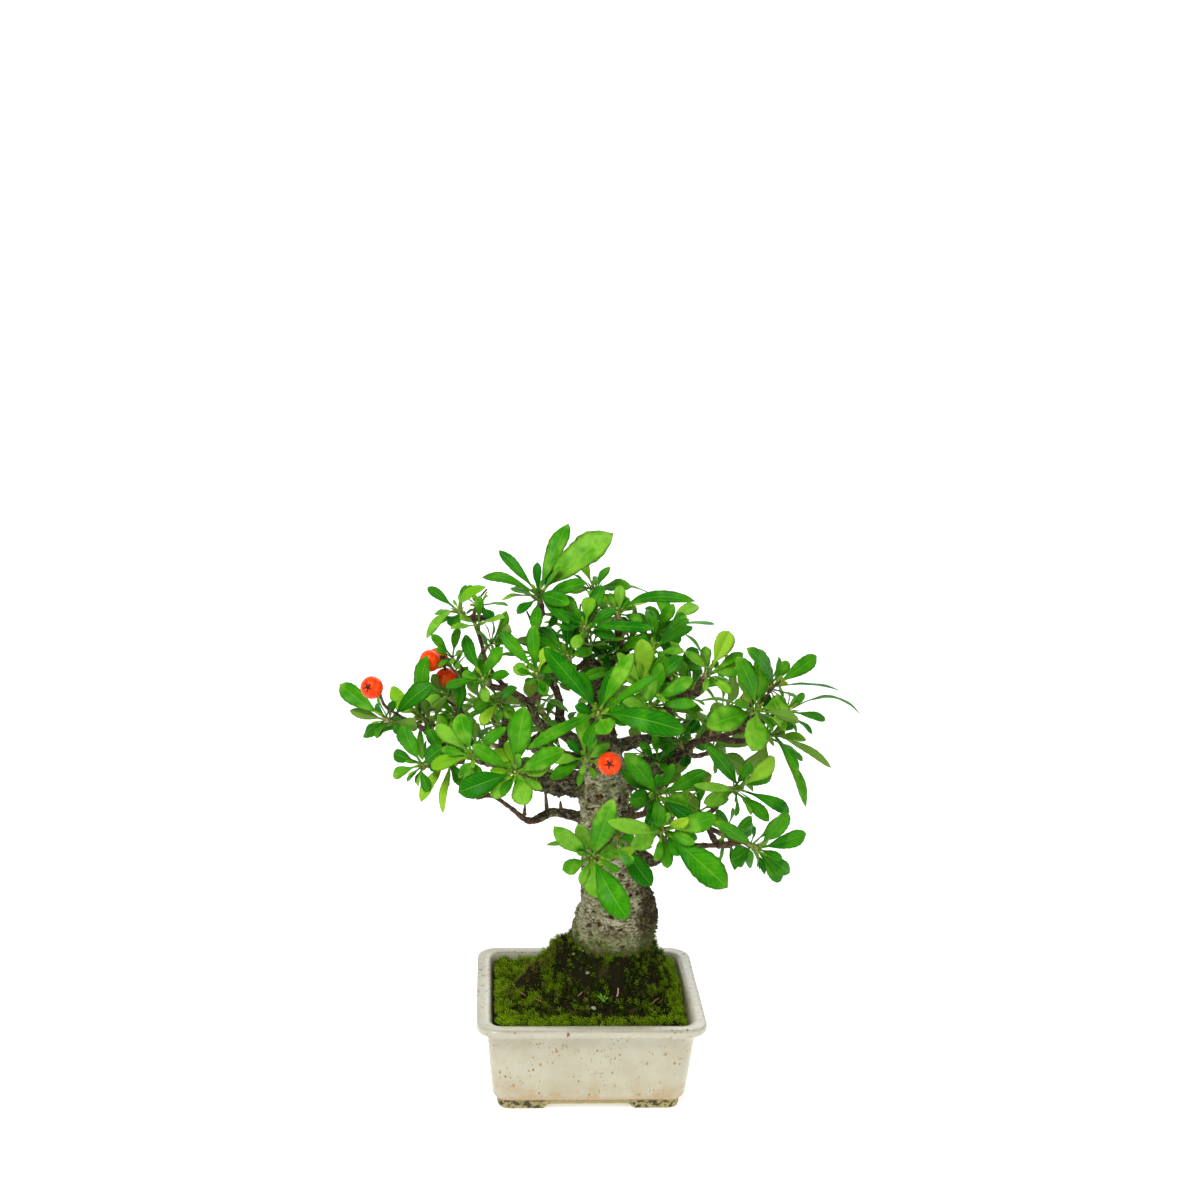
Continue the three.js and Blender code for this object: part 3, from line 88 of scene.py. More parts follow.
# How finely the looks are built. From leaf to leaf a shoot turns by the golden angle, in radians.
TURN_STEP = 2.4
LONG_LEAF, LONG_LEAF_STEPS, SHORT_LEAF_STEPS, YOUNG_LEAF_STEPS = 13, 18, 12, 10
ACROSS_LEAF = np.array([[-1, -0.66, -0.34, -0.09, 0, 0.09, 0.34, 0.66, 1]])
INNER_TRIES, INNER_LEAVES = 26, 8
BARK_VOXEL, THICK_LIMB, TWIG_SIDES = 0.56, 1.25, 9
MOSS_SPOKES, MOSS_RINGS = 220, 64
SHORT_MOSS, TALL_MOSS, MOSS_STEMS = 22000, 14000, 1200

# The eye from which the places were read: x and z are where the line of sight through a place crosses
# the upright plane through the pot's middle, and y is the place's own depth.
EYE = np.array([-45, -567.5, 336.2])
YAW, PITCH, ROLL = math.radians(4.44), math.radians(14.25), math.radians(2.14)
LENS, SENSOR = 48.48, 36

# Light: each lamp's name, place and target in metres, size and power.
FLOOR_GLOW, SKY_LIGHT = 0.5, 0.38
LAMPS = [
    ("key", (-0.35, -0.5, 0.9), (0, 0, 0.1), 0.5, 8.6),
    ("fill", (0.75, -0.5, 0.5), (0, 0, 0.1), 0.6, 1.8),
    ("back", (0.3, 0.8, 0.7), (0, 0, 0.12), 0.6, 2.5),
]

# Wood, as places (x, z, y) and radii.
TRUNK_LINE = [
    (9, 62, 7), (10.2, 68, 7), (9.7, 75, 6), (8, 80, 5), (6.8, 90, 3), (4.5, 100, 1), (3.4, 110, 0),
    (3.4, 117, -1), (2.6, 125, -1), (2, 134, 0), (1, 146, 2), (-2, 160, 4),
]
TRUNK_RADII = [15.8, 15.4, 13.4, 12.3, 11.2, 9.6, 8.9, 9.6, 8.6, 6.2, 4.2, 2.6]
FOOT_LEVELS, FOOT_RADII = [26, 34, 42, 50], [14.6, 14.6, 14.8, 15.2]
BRANCHES = {
    "dead_low_left": ([(-3, 107, 0), (-16, 109, -4), (-24, 105.5, -8), (-32.5, 111.5, -10),
                       (-38.8, 115.3, -12), (-44.5, 114.3, -13)], [2.3, 1.9, 1.7, 0.95, 0.75, 0.5]),
    "big_left": ([(1, 121, -1), (-10, 121, -3), (-20, 121.5, -4), (-28, 126, -4), (-35, 136, -3),
                  (-34.3, 143, -3), (-35.2, 149, -4)], [5, 4.4, 4.1, 3.3, 2.3, 1.4, 1]),
    "left_out": ([(-28, 126, -4), (-40, 129, -6), (-50, 132, -8), (-58, 137, -9), (-63.5, 141, -10),
                  (-69, 144, -11)], [2.4, 2, 1.7, 1.4, 1.1, 0.9]),
    "berry_twig": ([(-50, 132, -8), (-52.8, 140, 0), (-51.8, 149.5, 3), (-50.5, 158, 4), (-50.8, 165.5, 4),
                    (-57, 168.6, 3)], [1.3, 1.1, 0.9, 0.75, 0.6, 0.5]),
    "centre_left": ([(2, 133, 0), (-5, 135, -2), (-13.5, 141, -6), (-22, 144.5, -9), (-26, 152, -12),
                     (-34.5, 157.8, -13)], [3.2, 2.7, 2.1, 1.8, 1.4, 1.1]),
    "left_leader": ([(-13.5, 141, -6), (-15.5, 156, -4), (-20, 165, -2), (-22.5, 172.5, 0), (-24, 180, 0),
                     (-22, 185.5, 0)], [1.9, 1.6, 1.4, 1.3, 1.1, 0.9]),
    "long_twig": ([(-34.5, 157.8, -13), (-41, 166, -8), (-44, 176, -5), (-46.8, 184, -3)],
                  [1, 0.85, 0.75, 0.7]),
    "apex": ([(-2, 158, 4), (0, 163.5, 2), (-4, 169, -2), (-8, 174.5, -8)], [2.6, 2, 1.7, 1.3]),
    "apex_right": ([(0, 163.5, 2), (6.8, 172, 0), (6.5, 179, -3)], [1.7, 1.4, 1.1]),
    "apex_far_right": ([(6.8, 172, 0), (14, 175, 4), (19, 178, 5)], [1.2, 1, 0.85]),
    "right_upper": ([(4, 134, 0), (12, 137, 2), (20, 139, 4), (26.5, 142, 5), (25.6, 150, 2), (27, 154.5, -2),
                     (31, 156.5, -6), (36, 156.5, -9)], [3.2, 2.6, 2.2, 1.9, 1.6, 1.4, 1.25, 1.1]),
    "right_out": ([(6, 121, -1), (14, 121, -2), (22.5, 126, -4), (29, 130, -5), (36, 137, -6),
                   (45, 139.5, -8), (53, 142.3, -10)], [3.4, 2.6, 2, 1.7, 1.4, 1.1, 0.9]),
    "right_low": ([(12, 92, 2), (19, 92, -2), (23, 89.5, -8), (30.5, 95, -16), (47.5, 96.3, -24)],
                  [2.4, 1.9, 1.6, 1.2, 0.85]),
    "right_mid": ([(30.5, 95, -16), (32, 102.5, -18), (45, 110.5, -22)], [1.1, 1, 0.85]),
    "front_mid": ([(8, 108, 0), (15, 108, -12), (19.5, 109, -22)], [2, 1.3, 1.05]),
    "front_up": ([(2, 134, 0), (2, 137, -20), (1, 144, -38)], [3, 1.8, 1.2]),
    "front_low": ([(5, 97, 1), (5, 95, -12), (3.4, 93.6, -25)], [2.6, 1.5, 1.1]),
    "front_left": ([(-20, 121.5, -4), (-23, 123, -16), (-26, 123.5, -28)], [2, 1.4, 1.1]),
    "back_left": ([(0, 128, 2), (-12, 131, 16), (-26, 136, 28), (-38, 144, 38)], [3.6, 2.6, 1.9, 1.3]),
    "back_right": ([(5, 126, 2), (18, 129, 16), (32, 135, 28), (44, 142, 36)], [3.6, 2.6, 1.9, 1.3]),
    "back_middle": ([(1, 138, 1), (2, 146, 14), (0, 155, 26), (-3, 164, 34)], [3, 2.2, 1.7, 1.2]),
    "back_low": ([(6, 108, 3), (14, 111, 18), (22, 116, 30)], [2.8, 2, 1.3]),
}
STUBS = [
    ([(-38.8, 115.3, -12), (-41.7, 117.9, -12)], 0.7),
    ([(-38.8, 115.3, -12), (-45, 117.3, -11)], 0.7),
    ([(-26.3, 108, -8.5), (-26.2, 112.5, -9)], 0.8),
    ([(-17.8, 108.6, -4.5), (-19, 120, -7)], 0.9),
    ([(-12.5, 108.6, -3), (-13, 113.5, -5)], 1),
    ([(-35.2, 149, -4), (-40, 154, -6)], 0.8),
    ([(-24, 180, 0), (-27.5, 187, 1)], 0.8),
    ([(-46.8, 184, -3), (-45.2, 190.5, 1), (-42, 195, 3)], 0.75),
    ([(-51.8, 149.5, 3), (-58.3, 154.5, 2)], 0.75),
    ([(-52.5, 133.5, -8), (-53.5, 125, -9)], 0.9),
    ([(26.5, 142, 5), (34, 146, 8)], 0.9),
    ([(26.8, 92.4, -12), (27.5, 101, -13)], 1),
    ([(-8, 174.5, -8), (-8.4, 180.5, -4), (-8, 190, -1)], 0.8),
    ([(6.5, 179, -3), (1.5, 186, 1), (-1.5, 190.5, 2)], 0.75),
    ([(53, 142.3, -10), (57.6, 147, -11), (63, 157, -9), (68.5, 163, -9)], 0.8),
]
# The sprays of leaves that each branch carries, by the number of its point.
SPRAYS_ON = {
    "front_up": {1: "middle_low", 2: "front_star"},
    "front_low": {2: "front_low front_low_right"},
    "front_mid": {2: "right_middle_front"},
    "front_left": {2: "left_front"},
    "right_low": {3: "right_low_front", 4: "right_low right_low_inner"},
    "right_mid": {2: "right_middle"},
    "right_out": {5: "right_hanging", 6: "far_right right_upright right_tip"},
    "right_upper": {3: "middle_right right_heart", 4: "middle_upright", 5: "right_inner",
                    7: "right_shoulder"},
    "left_out": {1: "left_front_outer", 2: "left_hanging", 3: "left_low", 4: "left_upright", 5: "far_left"},
    "berry_twig": {2: "left_behind"},
    "big_left": {6: "left_middle"},
    "centre_left": {4: "left_inner_front", 5: "left_upper"},
    "long_twig": {3: "top_left top_left_inner"},
    "left_leader": {5: "crown"},
    "apex": {1: "upper_middle", 2: "upper_left", 3: "crown_right top_front"},
    "apex_right": {1: "right_upper", 2: "top_middle"},
    "apex_far_right": {1: "right_middle_top", 2: "top_right"},
    "back_left": {2: "back_left_low back_left_inner", 3: "back_left_outer"},
    "back_right": {2: "back_right_low back_right_inner", 3: "back_right_outer"},
    "back_middle": {1: "back_middle", 2: "back_top_left", 3: "back_top"},
    "back_low": {2: "back_low"},
}
CARRIERS = {spray: (branch, point) for branch, points in SPRAYS_ON.items()
            for point, sprays in points.items() for spray in sprays.split()}
# Each berry's place, the way its eye looks, and the points of its stalk.
BERRIES = {
    "berry_far_left": ((-83.2, 157.1, -24), (-0.4, -1, 0.35),
                       [(-69, 144, -11), (-74, 147, -15), (-79, 151, -21)]),
    "berry_cluster_left": ((-62.2, 167.6, -1), (-0.85, -0.5, -0.15), [(-57, 168.6, 3)]),
    "berry_cluster_right": ((-59.5, 168.6, 10), (-0.35, 0.9, 0.1), [(-57, 168.6, 3)]),
    "berry_cluster_low": ((-56.3, 161.2, 4), (0.1, 0.1, -1), [(-57, 168.6, 3)]),
    "berry_front": ((4.9, 128.7, -52), (-0.1, -1, 0.3), [(1.6, 137.5, -24), (4.4, 136.2, -44)]),
}


# Small tools

def seen(place):
    x, z, y = place
    return (np.array([x, 0, z]) - EYE) * ((y - EYE[1]) / -EYE[1]) + EYE


def unit(v):
    return np.asarray(v, float) / np.linalg.norm(v)


def lerp(a, b, share):
    return a + (b - a) * share


def smooth(low, high, x):
    share = np.clip((np.asarray(x, float) - low) / (high - low), 0, 1)
    return share * share * (3 - 2 * share)


def mesh_data(name, points, faces):
    """Blender's mesh from points in millimetres."""
    data = bpy.data.meshes.new(name)
    data.from_pydata((np.asarray(points, float) * MM).tolist(), [], faces)
    return data


def in_scene(name, data):
    thing = bpy.data.objects.new(name, data)
    scene.collection.objects.link(thing)
    return thing


def with_modifiers(thing):
    """The mesh that an object shows once its modifiers have worked."""
    return bpy.data.meshes.new_from_object(thing.evaluated_get(bpy.context.evaluated_depsgraph_get()))


def make_piece(name, points, faces, materials, slots, face_kinds=None, looks=None):
    """A mesh piece from points in millimetres, riding on the part's one body."""
    mesh = mesh_data(name, points, faces)
    for material in materials:
        mesh.materials.append(material)
    if face_kinds is not None:
        mesh.polygons.foreach_set("material_index", np.asarray(face_kinds, np.int32))
    if looks is not None:
        layer = mesh.attributes.new("look", "FLOAT_COLOR", "POINT")
        layer.data.foreach_set("color", np.asarray(looks, np.float32).ravel())
    mesh.polygons.foreach_set("use_smooth", [True] * len(mesh.polygons))
    mesh.update()
    piece = in_scene(name, mesh)
    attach(piece, BODY)
    return piece


class Mesh:
    """Points, faces and looks of a piece that is put together from many parts."""

    def __init__(self):
        self.points, self.faces, self.kinds, self.looks, self.count = [], [], [], [], 0

    def add(self, points, faces, kind=0, look=(0.5, 0.5, 0.5, 1)):
        self.points.append(np.asarray(points, float))
        self.faces.extend([tuple(int(i) + self.count for i in face) for face in faces])
        self.kinds.extend(kind if hasattr(kind, "__len__") else [kind] * len(faces))
        look = np.asarray(look, float)
        self.looks.append(look if look.ndim == 2 else np.tile(look, (len(points), 1)))
        self.count += len(points)

    def piece(self, name, materials, slot):
        points, looks = np.concatenate(self.points), np.concatenate(self.looks)
        return make_piece(name, points, self.faces, materials, slot, self.kinds, looks)


def smooth_line(points, steps):
    """Places spread evenly by length along a centripetal Catmull-Rom curve through the points."""
    points = [np.asarray(p, float) for p in points]
    ends = [2 * points[0] - points[1]] + points + [2 * points[-1] - points[-2]]
    fine = []
    for a, b, c, d in zip(ends, ends[1:], ends[2:], ends[3:]):
        t1 = math.sqrt(np.linalg.norm(b - a)) or 1e-6
        t2 = t1 + (math.sqrt(np.linalg.norm(c - b)) or 1e-6)
        t3 = t2 + (math.sqrt(np.linalg.norm(d - c)) or 1e-6)
        for t in np.linspace(t1, t2, 12, endpoint=False):
            ab = a + (b - a) * t / t1
            bc = b + (c - b) * (t - t1) / (t2 - t1)
            cd = c + (d - c) * (t - t2) / (t3 - t2)
            abc, bcd = ab + (bc - ab) * t / t2, bc + (cd - bc) * (t - t1) / (t3 - t1)
            fine.append(abc + (bcd - abc) * (t - t1) / (t2 - t1))
    fine = np.array(fine + [points[-1]])
    lengths = np.concatenate([[0], np.cumsum(np.linalg.norm(np.diff(fine, axis=0), axis=1))])
    wanted = np.linspace(0, lengths[-1], steps + 1)
    return np.stack([np.interp(wanted, lengths, fine[:, k]) for k in range(3)], 1)


def ring_faces(rings, sides, closed=True):
    """Faces between rings of points that follow one another and, if closed, over both ends."""
    faces = []
    for row in range(rings - 1):
        for i in range(sides):
            j = (i + 1) % sides
            faces.append((row * sides + i, row * sides + j, (row + 1) * sides + j, (row + 1) * sides + i))
    if closed:
        faces += [tuple(range(sides))[::-1], tuple((rings - 1) * sides + i for i in range(sides))]
    return faces


def tube(line, radii, sides):
    """A closed round tube with one radius for each point of its line."""
    along = np.gradient(line, axis=0)
    along /= np.linalg.norm(along, axis=1)[:, None]
    side = unit(np.cross(along[0], (0.3, 0.2, 1)))
    angles = np.arange(sides) * 2 * math.pi / sides
    rings = []
    for place, way, radius in zip(line, along, radii):
        side = unit(side - way * np.dot(side, way))
        other = np.cross(way, side)
        rings.append(place + radius * (np.outer(np.cos(angles), side) + np.outer(np.sin(angles), other)))
    return np.concatenate(rings), ring_faces(len(line), sides)


def sides_of(axis, hint):
    """Two ways square to an axis and to each other."""
    side = unit(np.cross(axis, hint))
    return side, np.cross(axis, side)


def leaning(axis, sides, turn, spread=0.0):
    """The way out from an axis at a turn round it, and the way that leans out from the axis by a spread."""
    outward = sides[0] * math.cos(turn) + sides[1] * math.sin(turn)
    return outward, axis * math.cos(spread) + outward * math.sin(spread)


# Materials

class Shader:
    """A material's node tree, with a short call for each kind of node that it is made of."""

    def __init__(self, name, roughness=0.6, specular=0.5, **constants):
        self.material = bpy.data.materials.new(name)
        self.material.use_nodes = True
        self.tree = self.material.node_tree
        self.surface = self.tree.nodes["Principled BSDF"]
        self.surface.inputs["Roughness"].default_value = roughness
        self.surface.inputs["Specular IOR Level"].default_value = specular
        for socket, value in constants.items():
            self.surface.inputs[socket.replace("_", " ")].default_value = value
        self.place = self.tree.nodes.new("ShaderNodeTexCoord").outputs["Object"]

    def put(self, socket, value):
        if isinstance(value, bpy.types.NodeSocket):
            self.tree.links.new(value, socket)
        elif hasattr(value, "__len__") and len(value) == 3 and socket.type == "RGBA":
            socket.default_value = (*value, 1)
        else:
            socket.default_value = value

    def math(self, operation, *values, clamp=False):
        node = self.tree.nodes.new("ShaderNodeMath")
        node.operation, node.use_clamp = operation, clamp
        for socket, value in zip(node.inputs, values):
            self.put(socket, value)
        return node.outputs[0]

    def times(self, a, b):
        return self.math("MULTIPLY", a, b)

    def times_plus(self, a, b, c, clamp=False):
        return self.math("MULTIPLY_ADD", a, b, c, clamp=clamp)

    def size_of(self, a):
        return self.math("ABSOLUTE", a)

    def mix(self, share, a, b):
        node = self.tree.nodes.new("ShaderNodeMix")
        node.data_type = "RGBA"
        self.put(node.inputs["Factor"], share)
        self.put(node.inputs[6], a)
        self.put(node.inputs[7], b)
        return node.outputs[2]

    def step(self, low, high, value, to_low=0.0, to_high=1.0):
        """Smooth step of a value from one number to another."""
        node = self.tree.nodes.new("ShaderNodeMapRange")
        node.interpolation_type = "SMOOTHSTEP"
        for name, number in zip(("Value", "From Min", "From Max", "To Min", "To Max"),
                                (value, low, high, to_low, to_high)):
            self.put(node.inputs[name], number)
        return node.outputs[0]

    def over(self, base, mask, strength, colour):
        """Lays a colour over a base where a mask is."""
        return self.mix(self.times(mask, strength), base, colour)

    def patches(self, base, colour, low, high, grain, strength=None):
        """Lays a colour over a base where noise of a size, detail and roughness is high."""
        mask = self.step(low, high, self.noise(*grain))
        return self.mix(mask, base, colour) if strength is None else self.over(base, mask, strength, colour)

    def stretched(self, x=1, y=1, z=1):
        node = self.tree.nodes.new("ShaderNodeMapping")
        self.put(node.inputs["Vector"], self.place)
        node.inputs["Scale"].default_value = (x, y, z)
        return node.outputs[0]

    def noise(self, size, detail=3, rough=0.55, place=None, bend=0.0):
        """Noise whose lumps are about this many millimetres across."""
        node = self.tree.nodes.new("ShaderNodeTexNoise")
        self.put(node.inputs["Vector"], place or self.place)
        node.inputs["Scale"].default_value = 1 / (size * MM)
        node.inputs["Detail"].default_value = detail
        node.inputs["Roughness"].default_value = rough
        node.inputs["Distortion"].default_value = bend
        return node.outputs["Fac"]

    def cells(self, size, output="Distance", feature="F1", place=None):
        node = self.tree.nodes.new("ShaderNodeTexVoronoi")
        node.feature = feature
        self.put(node.inputs["Vector"], place or self.place)
        node.inputs["Scale"].default_value = 1 / (size * MM)
        return node.outputs[output]

    def parts(self, vector):
        node = self.tree.nodes.new("ShaderNodeSeparateXYZ")
        self.put(node.inputs[0], vector)
        return node.outputs

    def look(self):
        """The four numbers that a piece keeps for each of its points."""
        node = self.tree.nodes.new("ShaderNodeAttribute")
        node.attribute_name = "look"
        colour = self.tree.nodes.new("ShaderNodeSeparateColor")
        self.tree.links.new(node.outputs["Color"], colour.inputs[0])
        return (*colour.outputs, node.outputs["Alpha"])

    def bump(self, height, depth, strength=1.0):
        """Bump whose full height is this many millimetres."""
        node = self.tree.nodes.new("ShaderNodeBump")
        node.inputs["Distance"].default_value = depth * MM
        node.inputs["Strength"].default_value = strength
        self.put(node.inputs["Height"], height)
        self.put(self.surface.inputs["Normal"], node.outputs[0])

    def finish(self, colour, roughness=None):
        self.put(self.surface.inputs["Base Color"], colour)
        if roughness is not None:
            self.put(self.surface.inputs["Roughness"], roughness)
        return self.material


def leaf_material(upper):
    """Upper or under side of a leaf. look holds place along, place across, tone and youth."""
    s = Shader("leaf_upper" if upper else "leaf_under", specular=0.07 if upper else 0.02)
    along, across, tone, youth = s.look()
    tone = s.times_plus(s.step(0.3, 0.7, s.noise(8, 2)), 0.5, s.math("SUBTRACT", tone, 0.25), clamp=True)
    aside = s.size_of(s.times_plus(across, 2.0, -1.0))
    mottle = s.noise(2.6, 4)
    slant = s.times_plus(aside, -0.2, s.times_plus(mottle, 0.03, along))
    vein = s.times(s.step(0.82, 1.0, s.math("SINE", s.times(slant, 78.0))), s.step(0.05, 0.2, aside))
    midrib = s.step(0.06, 0.012, aside)
    margin = s.step(0.9, 1.0, aside)
    if upper:
        green = s.mix(s.step(0.0, 0.55, tone), (0.0003, 0.13, 0.0001), (0.032, 0.245, 0.0005))
        green = s.mix(s.step(0.5, 1.0, tone), green, (0.17, 0.43, 0.025))
        young = s.mix(tone, (0.15, 0.42, 0.006), (0.28, 0.5, 0.02))
        green = s.mix(s.step(0.35, 0.75, mottle), green, s.mix(0.35, green, (0.001, 0.09, 0.0002)))
        line, rim = (0.19, 0.42, 0.03), (0.22, 0.42, 0.03)
        rough = s.step(0.2, 0.8, s.noise(3.5, 2), 0.3, 0.42)
    else:
        green = s.mix(tone, (0.1, 0.24, 0.025), (0.19, 0.34, 0.05))
        young = s.mix(tone, (0.24, 0.42, 0.03), (0.33, 0.48, 0.06))
        green = s.mix(s.step(0.3, 0.8, mottle), green, s.mix(0.25, green, (0.09, 0.2, 0.03)))
        line, rim = (0.32, 0.46, 0.12), (0.28, 0.42, 0.08)
        rough = s.step(0.2, 0.8, mottle, 0.55, 0.68)
    green = s.mix(youth, green, young)
    green = s.over(green, vein, 0.14, line)
    green = s.over(green, midrib, 0.5, line)
    green = s.over(green, margin, 0.5, rim)
    green = s.over(green, s.step(0.88, 1.0, along), s.step(0.3, 0.7, tone, 0.1, 0.5), rim)
    green = s.mix(s.step(0.14, 0.03, along), green, (0.3, 0.42, 0.06))
    dome = s.size_of(s.math("SINE", s.times(slant, 39.0)))
    s.bump(s.times_plus(s.noise(0.5, 2), 0.25, s.times(dome, 0.75)), 0.1 if upper else 0.14, 0.65)
    return s.finish(green, rough)


def shoot_material():
    s = Shader("young_shoot", roughness=0.55)
    _, _, tone, youth = s.look()
    bark = s.mix(s.noise(0.9, 3), (0.12, 0.06, 0.03), (0.26, 0.17, 0.08))
    green = s.mix(tone, (0.3, 0.36, 0.07), (0.42, 0.44, 0.14))
    s.bump(s.noise(0.5, 3), 0.15)
    return s.finish(s.mix(youth, bark, green))


def bark_material():
    """look holds scar, age from twig over limb to trunk, moss, and height of the bark; low bark is darkened
    as painted shade in its cracks.
    """
    s = Shader("bark", roughness=0.85, specular=0.2)
    scar, age, green, height = s.look()
    fine = s.noise(0.55, 4, 0.7)
    flake = s.noise(2.2, 5, 0.7, s.stretched(1, 1, 1.6), 0.6)
    line = s.noise(2.6, 5, 0.7, s.stretched(0.7, 0.7, 1.9), 1.6)
    x, _, z = (s.math("DIVIDE", part, MM) for part in s.parts(s.place))
    dark = s.mix(fine, (0.008, 0.006, 0.003), (0.07, 0.045, 0.02))
    rust = s.mix(fine, (0.1, 0.045, 0.016), (0.3, 0.16, 0.07))
    trunk = s.mix(s.step(0.4, 0.58, line), (0.12, 0.105, 0.055), (0.52, 0.5, 0.32))
    trunk = s.patches(trunk, (0.19, 0.23, 0.07), 0.46, 0.62, (5, 3), 0.55)
    trunk = s.mix(s.step(0.56, 0.66, flake), trunk, (0.56, 0.54, 0.38))
    blotch = s.step(0.54, 0.58, s.noise(6.5, 6, 0.65, s.stretched(1, 1, 1.2), 0.3))
    old = s.patches(s.mix(0.3, dark, rust), (0.26, 0.23, 0.13), 0.42, 0.58, (1.3, 4, 0.7))
    trunk = s.over(trunk, blotch, 0.82, old)
    trunk = s.patches(trunk, dark, 0.6, 0.66, (1.5, 3, 0.6), 0.7)
    trunk = s.mix(s.step(0.3, 0.7, scar), trunk, s.patches(dark, rust, 0.45, 0.6, (1.1, 2)))
    # The trunk's right side below the limbs is rough, dark bark, and its dark is partly painted shade on that
    # side.
    ragged = s.times_plus(s.noise(5, 4, 0.6), 16.0, x)
    rough_and_shaded_side = s.times(s.step(25, 28, ragged), s.step(92, 78, z))
    trunk = s.over(trunk, rough_and_shaded_side, 0.95, s.patches(dark, (0.16, 0.16, 0.06), 0.5, 0.62, (1.6, 4, 0.7)))
    trunk = s.over(trunk, s.step(66, 57, z), 0.4, (0.15, 0.17, 0.04))
    low = s.step(59, 54, s.times_plus(s.noise(4, 3), 6.0, s.math("SUBTRACT", z, 3.0)))
    trunk = s.over(trunk, low, 0.85, s.mix(0.4, dark, rust))
    # Painted shade: the trunk's bark is darkened almost to black where its relief sinks into cracks.
    trunk = s.mix(s.step(0.42, 0.15, height), trunk, dark)
    limb = s.mix(s.step(0.42, 0.62, flake), (0.018, 0.014, 0.007), (0.16, 0.14, 0.075))
    limb = s.patches(limb, (0.31, 0.3, 0.17), 0.58, 0.66, (1.6, 4, 0.7))
    limb = s.patches(limb, (0.09, 0.12, 0.03), 0.5, 0.66, (4, 3), 0.5)
    # Painted shade: the limbs' bark is darkened the same way in its cracks.
    limb = s.mix(s.step(0.42, 0.2, height), limb, dark)
    twig = s.mix(s.step(0.35, 0.7, flake), (0.04, 0.02, 0.012), (0.17, 0.1, 0.06))
    twig = s.patches(twig, (0.3, 0.23, 0.15), 0.6, 0.68, (0.8, 2))
    wood = s.mix(s.step(0.1, 0.4, age), twig, limb)
    wood = s.mix(s.step(0.6, 0.95, age), wood, trunk)
    moss = s.mix(fine, (0.01, 0.03, 0.002), (0.1, 0.19, 0.008))
    wood = s.over(wood, green, s.step(0.38, 0.6, s.noise(1.8, 3)), moss)
    rough = s.times_plus(fine, 0.4, s.times(flake, 0.5))
    s.bump(s.math("ADD", rough, s.times(line, 0.8)), 0.8)
    return s.finish(wood, s.step(0.2, 0.8, fine, 0.75, 0.95))


def moss_material(name, dark, bright):
    """look holds tone, height over the ground, dryness and soil; low over the ground the moss is darkened as
    painted shade.
    """
    s = Shader(name, roughness=0.8, specular=0.05)
    tone, height, dry, soil = s.look()
    green = s.mix(tone, dark, bright)
    # Painted shade: low on each moss leaf and in the hollows of the blanket the green is darkened almost to
    # black.
    green = s.mix(s.step(0.1, 1.0, height), s.mix(0.85, green, (0.006, 0.01, 0.001)), green)
    green = s.over(green, dry, 0.8, (0.24, 0.19, 0.05))
    earth = s.mix(s.noise(0.8, 4), (0.004, 0.0035, 0.0015), (0.026, 0.021, 0.009))
    s.bump(s.noise(0.45, 3), 0.3)
    return s.finish(s.mix(soil, green, earth))


def soil_material():
    s = Shader("soil", roughness=0.95, specular=0.2)
    crumb = s.noise(1.6, 5, 0.7)
    colour = s.mix(s.step(0.35, 0.7, crumb), (0.012, 0.008, 0.005), (0.07, 0.042, 0.024))
    s.bump(crumb, 0.6)
    return s.finish(s.patches(colour, (0.22, 0.17, 0.12), 0.67, 0.72, (0.9, 2)))


def glaze_material():
    """Cream glaze with brown iron specks, thin at the edges and stained above the bare feet."""
    s = Shader("cream_glaze", specular=0.5, Coat_Weight=0.25, Coat_Roughness=0.12)
    height = s.math("DIVIDE", s.parts(s.place)[2], MM)
    cream = s.patches((0.43, 0.39, 0.275), (0.485, 0.465, 0.345), 0.3, 0.7, (14, 4, 0.6))
    cream = s.over(cream, s.step(33.5, 36.5, height), 0.5, (0.5, 0.5, 0.42))
    cream = s.patches(cream, (0.42, 0.36, 0.2), 0.5, 0.75, (5, 5, 0.65), 0.4)
    crowd = s.step(0.4, 0.6, s.noise(9, 3), 0.75, 1.12)
    drawn_up = s.stretched(1, 1, 0.7)
    for size, width, share, tint, strength in (
        (2.1, 0.22, 0.8, (0.26, 0.15, 0.035), 0.95), (4.6, 0.15, 0.54, (0.18, 0.095, 0.022), 1.0),
        (1.2, 0.3, 0.85, (0.31, 0.2, 0.055), 0.8), (3.1, 0.19, 0.72, (0.31, 0.2, 0.055), 0.9),
        (0.9, 0.3, 0.91, (0.2, 0.13, 0.05), 0.7),
    ):
        ragged = s.times_plus(s.noise(0.7, 2), 0.22, s.cells(size, place=drawn_up))
        dot = s.step(width + 0.13, width + 0.07, ragged)
        chosen = s.times(s.parts(s.cells(size, "Color", place=drawn_up))[0], crowd)
        cream = s.over(cream, s.times(dot, s.step(share, share + 0.04, chosen)), strength, tint)
    stain = s.times(s.step(15, 5.5, height), s.step(0.4, 0.66, s.noise(6, 4)))
    cream = s.over(cream, stain, 0.75, (0.4, 0.27, 0.1))
    lines = [s.step(width, 0.0, s.size_of(s.math("SUBTRACT", height, level)))
             for width, level in ((0.35, 36.7), (0.5, 33.4))]
    lines = s.times(s.math("MAXIMUM", *lines), s.step(0.35, 0.6, s.noise(7, 4)))
    cream = s.over(cream, lines, 0.5, (0.26, 0.19, 0.09))
    cream = s.patches(cream, (0.36, 0.3, 0.16), 0.62, 0.78, (4, 4, 0.6), 0.2)
    cream = s.over(cream, s.step(7.4, 4.6, height), 0.75, (0.42, 0.28, 0.13))
    s.bump(s.times_plus(s.noise(1.2, 3), 0.35, s.noise(6, 3)), 0.28, 0.6)
    return s.finish(cream, s.step(0.3, 0.8, s.noise(3, 4), 0.24, 0.42))


